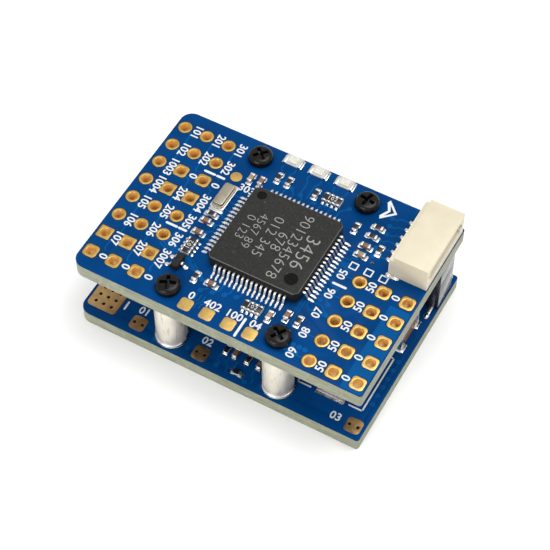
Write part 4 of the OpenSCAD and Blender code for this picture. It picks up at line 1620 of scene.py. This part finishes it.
class FC_OT_chip_parts(bpy.types.Operator):
    """Resistors and capacitors of both boards"""
    bl_idname = "fc.chip_parts"
    bl_label = "Chip parts"
    bl_options = {"REGISTER", "UNDO"}

    def execute(self, context):
        for group in CHIP_GROUPS:
            chip_group(*group)
        return {"FINISHED"}


class FC_OT_arrays(bpy.types.Operator):
    """Resistor arrays"""
    bl_idname = "fc.arrays"
    bl_label = "Resistor arrays"
    bl_options = {"REGISTER", "UNDO"}

    def execute(self, context):
        resistor_arrays()
        return {"FINISHED"}


class FC_OT_transistor(bpy.types.Operator):
    """Three-leg transistor"""
    bl_idname = "fc.transistor"
    bl_label = "Transistor"
    bl_options = {"REGISTER", "UNDO"}

    def execute(self, context):
        transistor()
        return {"FINISHED"}


class FC_OT_crystal(bpy.types.Operator):
    """Crystal in its metal can"""
    bl_idname = "fc.crystal"
    bl_label = "Crystal"
    bl_options = {"REGISTER", "UNDO"}

    def execute(self, context):
        crystal()
        return {"FINISHED"}


class FC_OT_lamps(bpy.types.Operator):
    """White lamps on the back edge"""
    bl_idname = "fc.lamps"
    bl_label = "Lamps"
    bl_options = {"REGISTER", "UNDO"}

    def execute(self, context):
        lamps()
        return {"FINISHED"}


class FC_OT_connector(bpy.types.Operator):
    """Cream wire connector"""
    bl_idname = "fc.connector"
    bl_label = "Wire connector"
    bl_options = {"REGISTER", "UNDO"}

    def execute(self, context):
        wire_connector()
        return {"FINISHED"}


class FC_OT_header(bpy.types.Operator):
    """Header that joins the boards"""
    bl_idname = "fc.header"
    bl_label = "Board header"
    bl_options = {"REGISTER", "UNDO"}

    def execute(self, context):
        board_header()
        return {"FINISHED"}


class FC_OT_power_parts(bpy.types.Operator):
    """Inductors, regulators, diodes and shunt on the power board"""
    bl_idname = "fc.power_parts"
    bl_label = "Power parts"
    bl_options = {"REGISTER", "UNDO"}

    def execute(self, context):
        moulded_coil("power_inductor", "inductor_terminals", "power_inductor_body")
        moulded_coil("small_inductor", "small_inductor_terminals", "small_inductor_body")
        leaded_chip("regulator_chips", "regulator_leads", POWER, "regulators")
        leaded_chip("diodes", "diode_terminals", POWER, "power_diodes")
        soft_copy("current_shunt", POWER, "resin")
        soft_copy("shunt_ends", POWER, "tin")
        return {"FINISHED"}


class FC_OT_underside(bpy.types.Operator):
    """Chips under the controller board"""
    bl_idname = "fc.underside"
    bl_label = "Underside chips"
    bl_options = {"REGISTER", "UNDO"}

    def execute(self, context):
        leaded_chip("osd_chip", "osd_leads", CONTROL, "display_chip")
        soft_copy("memory_chip", CONTROL, "resin")
        soft_copy("gyro_chip", CONTROL, "resin")
        soft_copy("barometer_base", CONTROL, "alumina", 0.02)
        soft_copy("barometer_lid", CONTROL, "can", 0.04)
        return {"FINISHED"}


class FC_OT_standoffs(bpy.types.Operator):
    """Standoffs and the solder round their feet"""
    bl_idname = "fc.standoffs"
    bl_label = "Standoffs"
    bl_options = {"REGISTER", "UNDO"}

    def execute(self, context):
        standoffs()
        return {"FINISHED"}


class FC_OT_screws(bpy.types.Operator):
    """Four black pan-head screws"""
    bl_idname = "fc.screws"
    bl_label = "Screws"
    bl_options = {"REGISTER", "UNDO"}

    def execute(self, context):
        screws()
        return {"FINISHED"}


class FC_OT_materials(bpy.types.Operator):
    """Every finish of the stack"""
    bl_idname = "fc.materials"
    bl_label = "Finishes"
    bl_options = {"REGISTER", "UNDO"}

    def execute(self, context):
        make_materials()
        return {"FINISHED"}


OPERATORS = (FC_OT_materials, FC_OT_stage, FC_OT_boards, FC_OT_traces, FC_OT_wire_pads,
             FC_OT_flat_pads, FC_OT_print, FC_OT_processor, FC_OT_chip_parts, FC_OT_arrays,
             FC_OT_transistor, FC_OT_crystal, FC_OT_lamps, FC_OT_connector, FC_OT_header,
             FC_OT_power_parts, FC_OT_underside, FC_OT_standoffs, FC_OT_screws)


class FC_PT_panel(bpy.types.Panel):
    """Sidebar panel that lists the steps"""
    bl_idname = "FC_PT_panel"
    bl_label = "Flight controller"
    bl_space_type = "VIEW_3D"
    bl_region_type = "UI"
    bl_category = "Flight controller"

    def draw(self, context):
        """One button for each step."""
        for operator in OPERATORS:
            self.layout.operator(operator.bl_idname)


LOOKS = {"fc_boards": BoardLooks, "fc_metals": MetalLooks, "fc_plastics": PlasticLooks,
         "fc_stage": StageLooks}


def register():
    """Adds the classes and the groups of user values."""
    for kind in (*LOOKS.values(), *OPERATORS, FC_PT_panel):
        bpy.utils.register_class(kind)
    for name, kind in LOOKS.items():
        setattr(bpy.types.Scene, name, PointerProperty(type=kind))


def unregister():
    """Takes away what register added."""
    for name in LOOKS:
        delattr(bpy.types.Scene, name)
    for kind in (FC_PT_panel, *reversed(OPERATORS), *reversed(LOOKS.values())):
        bpy.utils.unregister_class(kind)


def main():
    """Builds everything in order."""
    register()
    for operator in OPERATORS:
        group, name = operator.bl_idname.split(".")
        getattr(getattr(bpy.ops, group), name)()


if __name__ == "__main__":
    main()
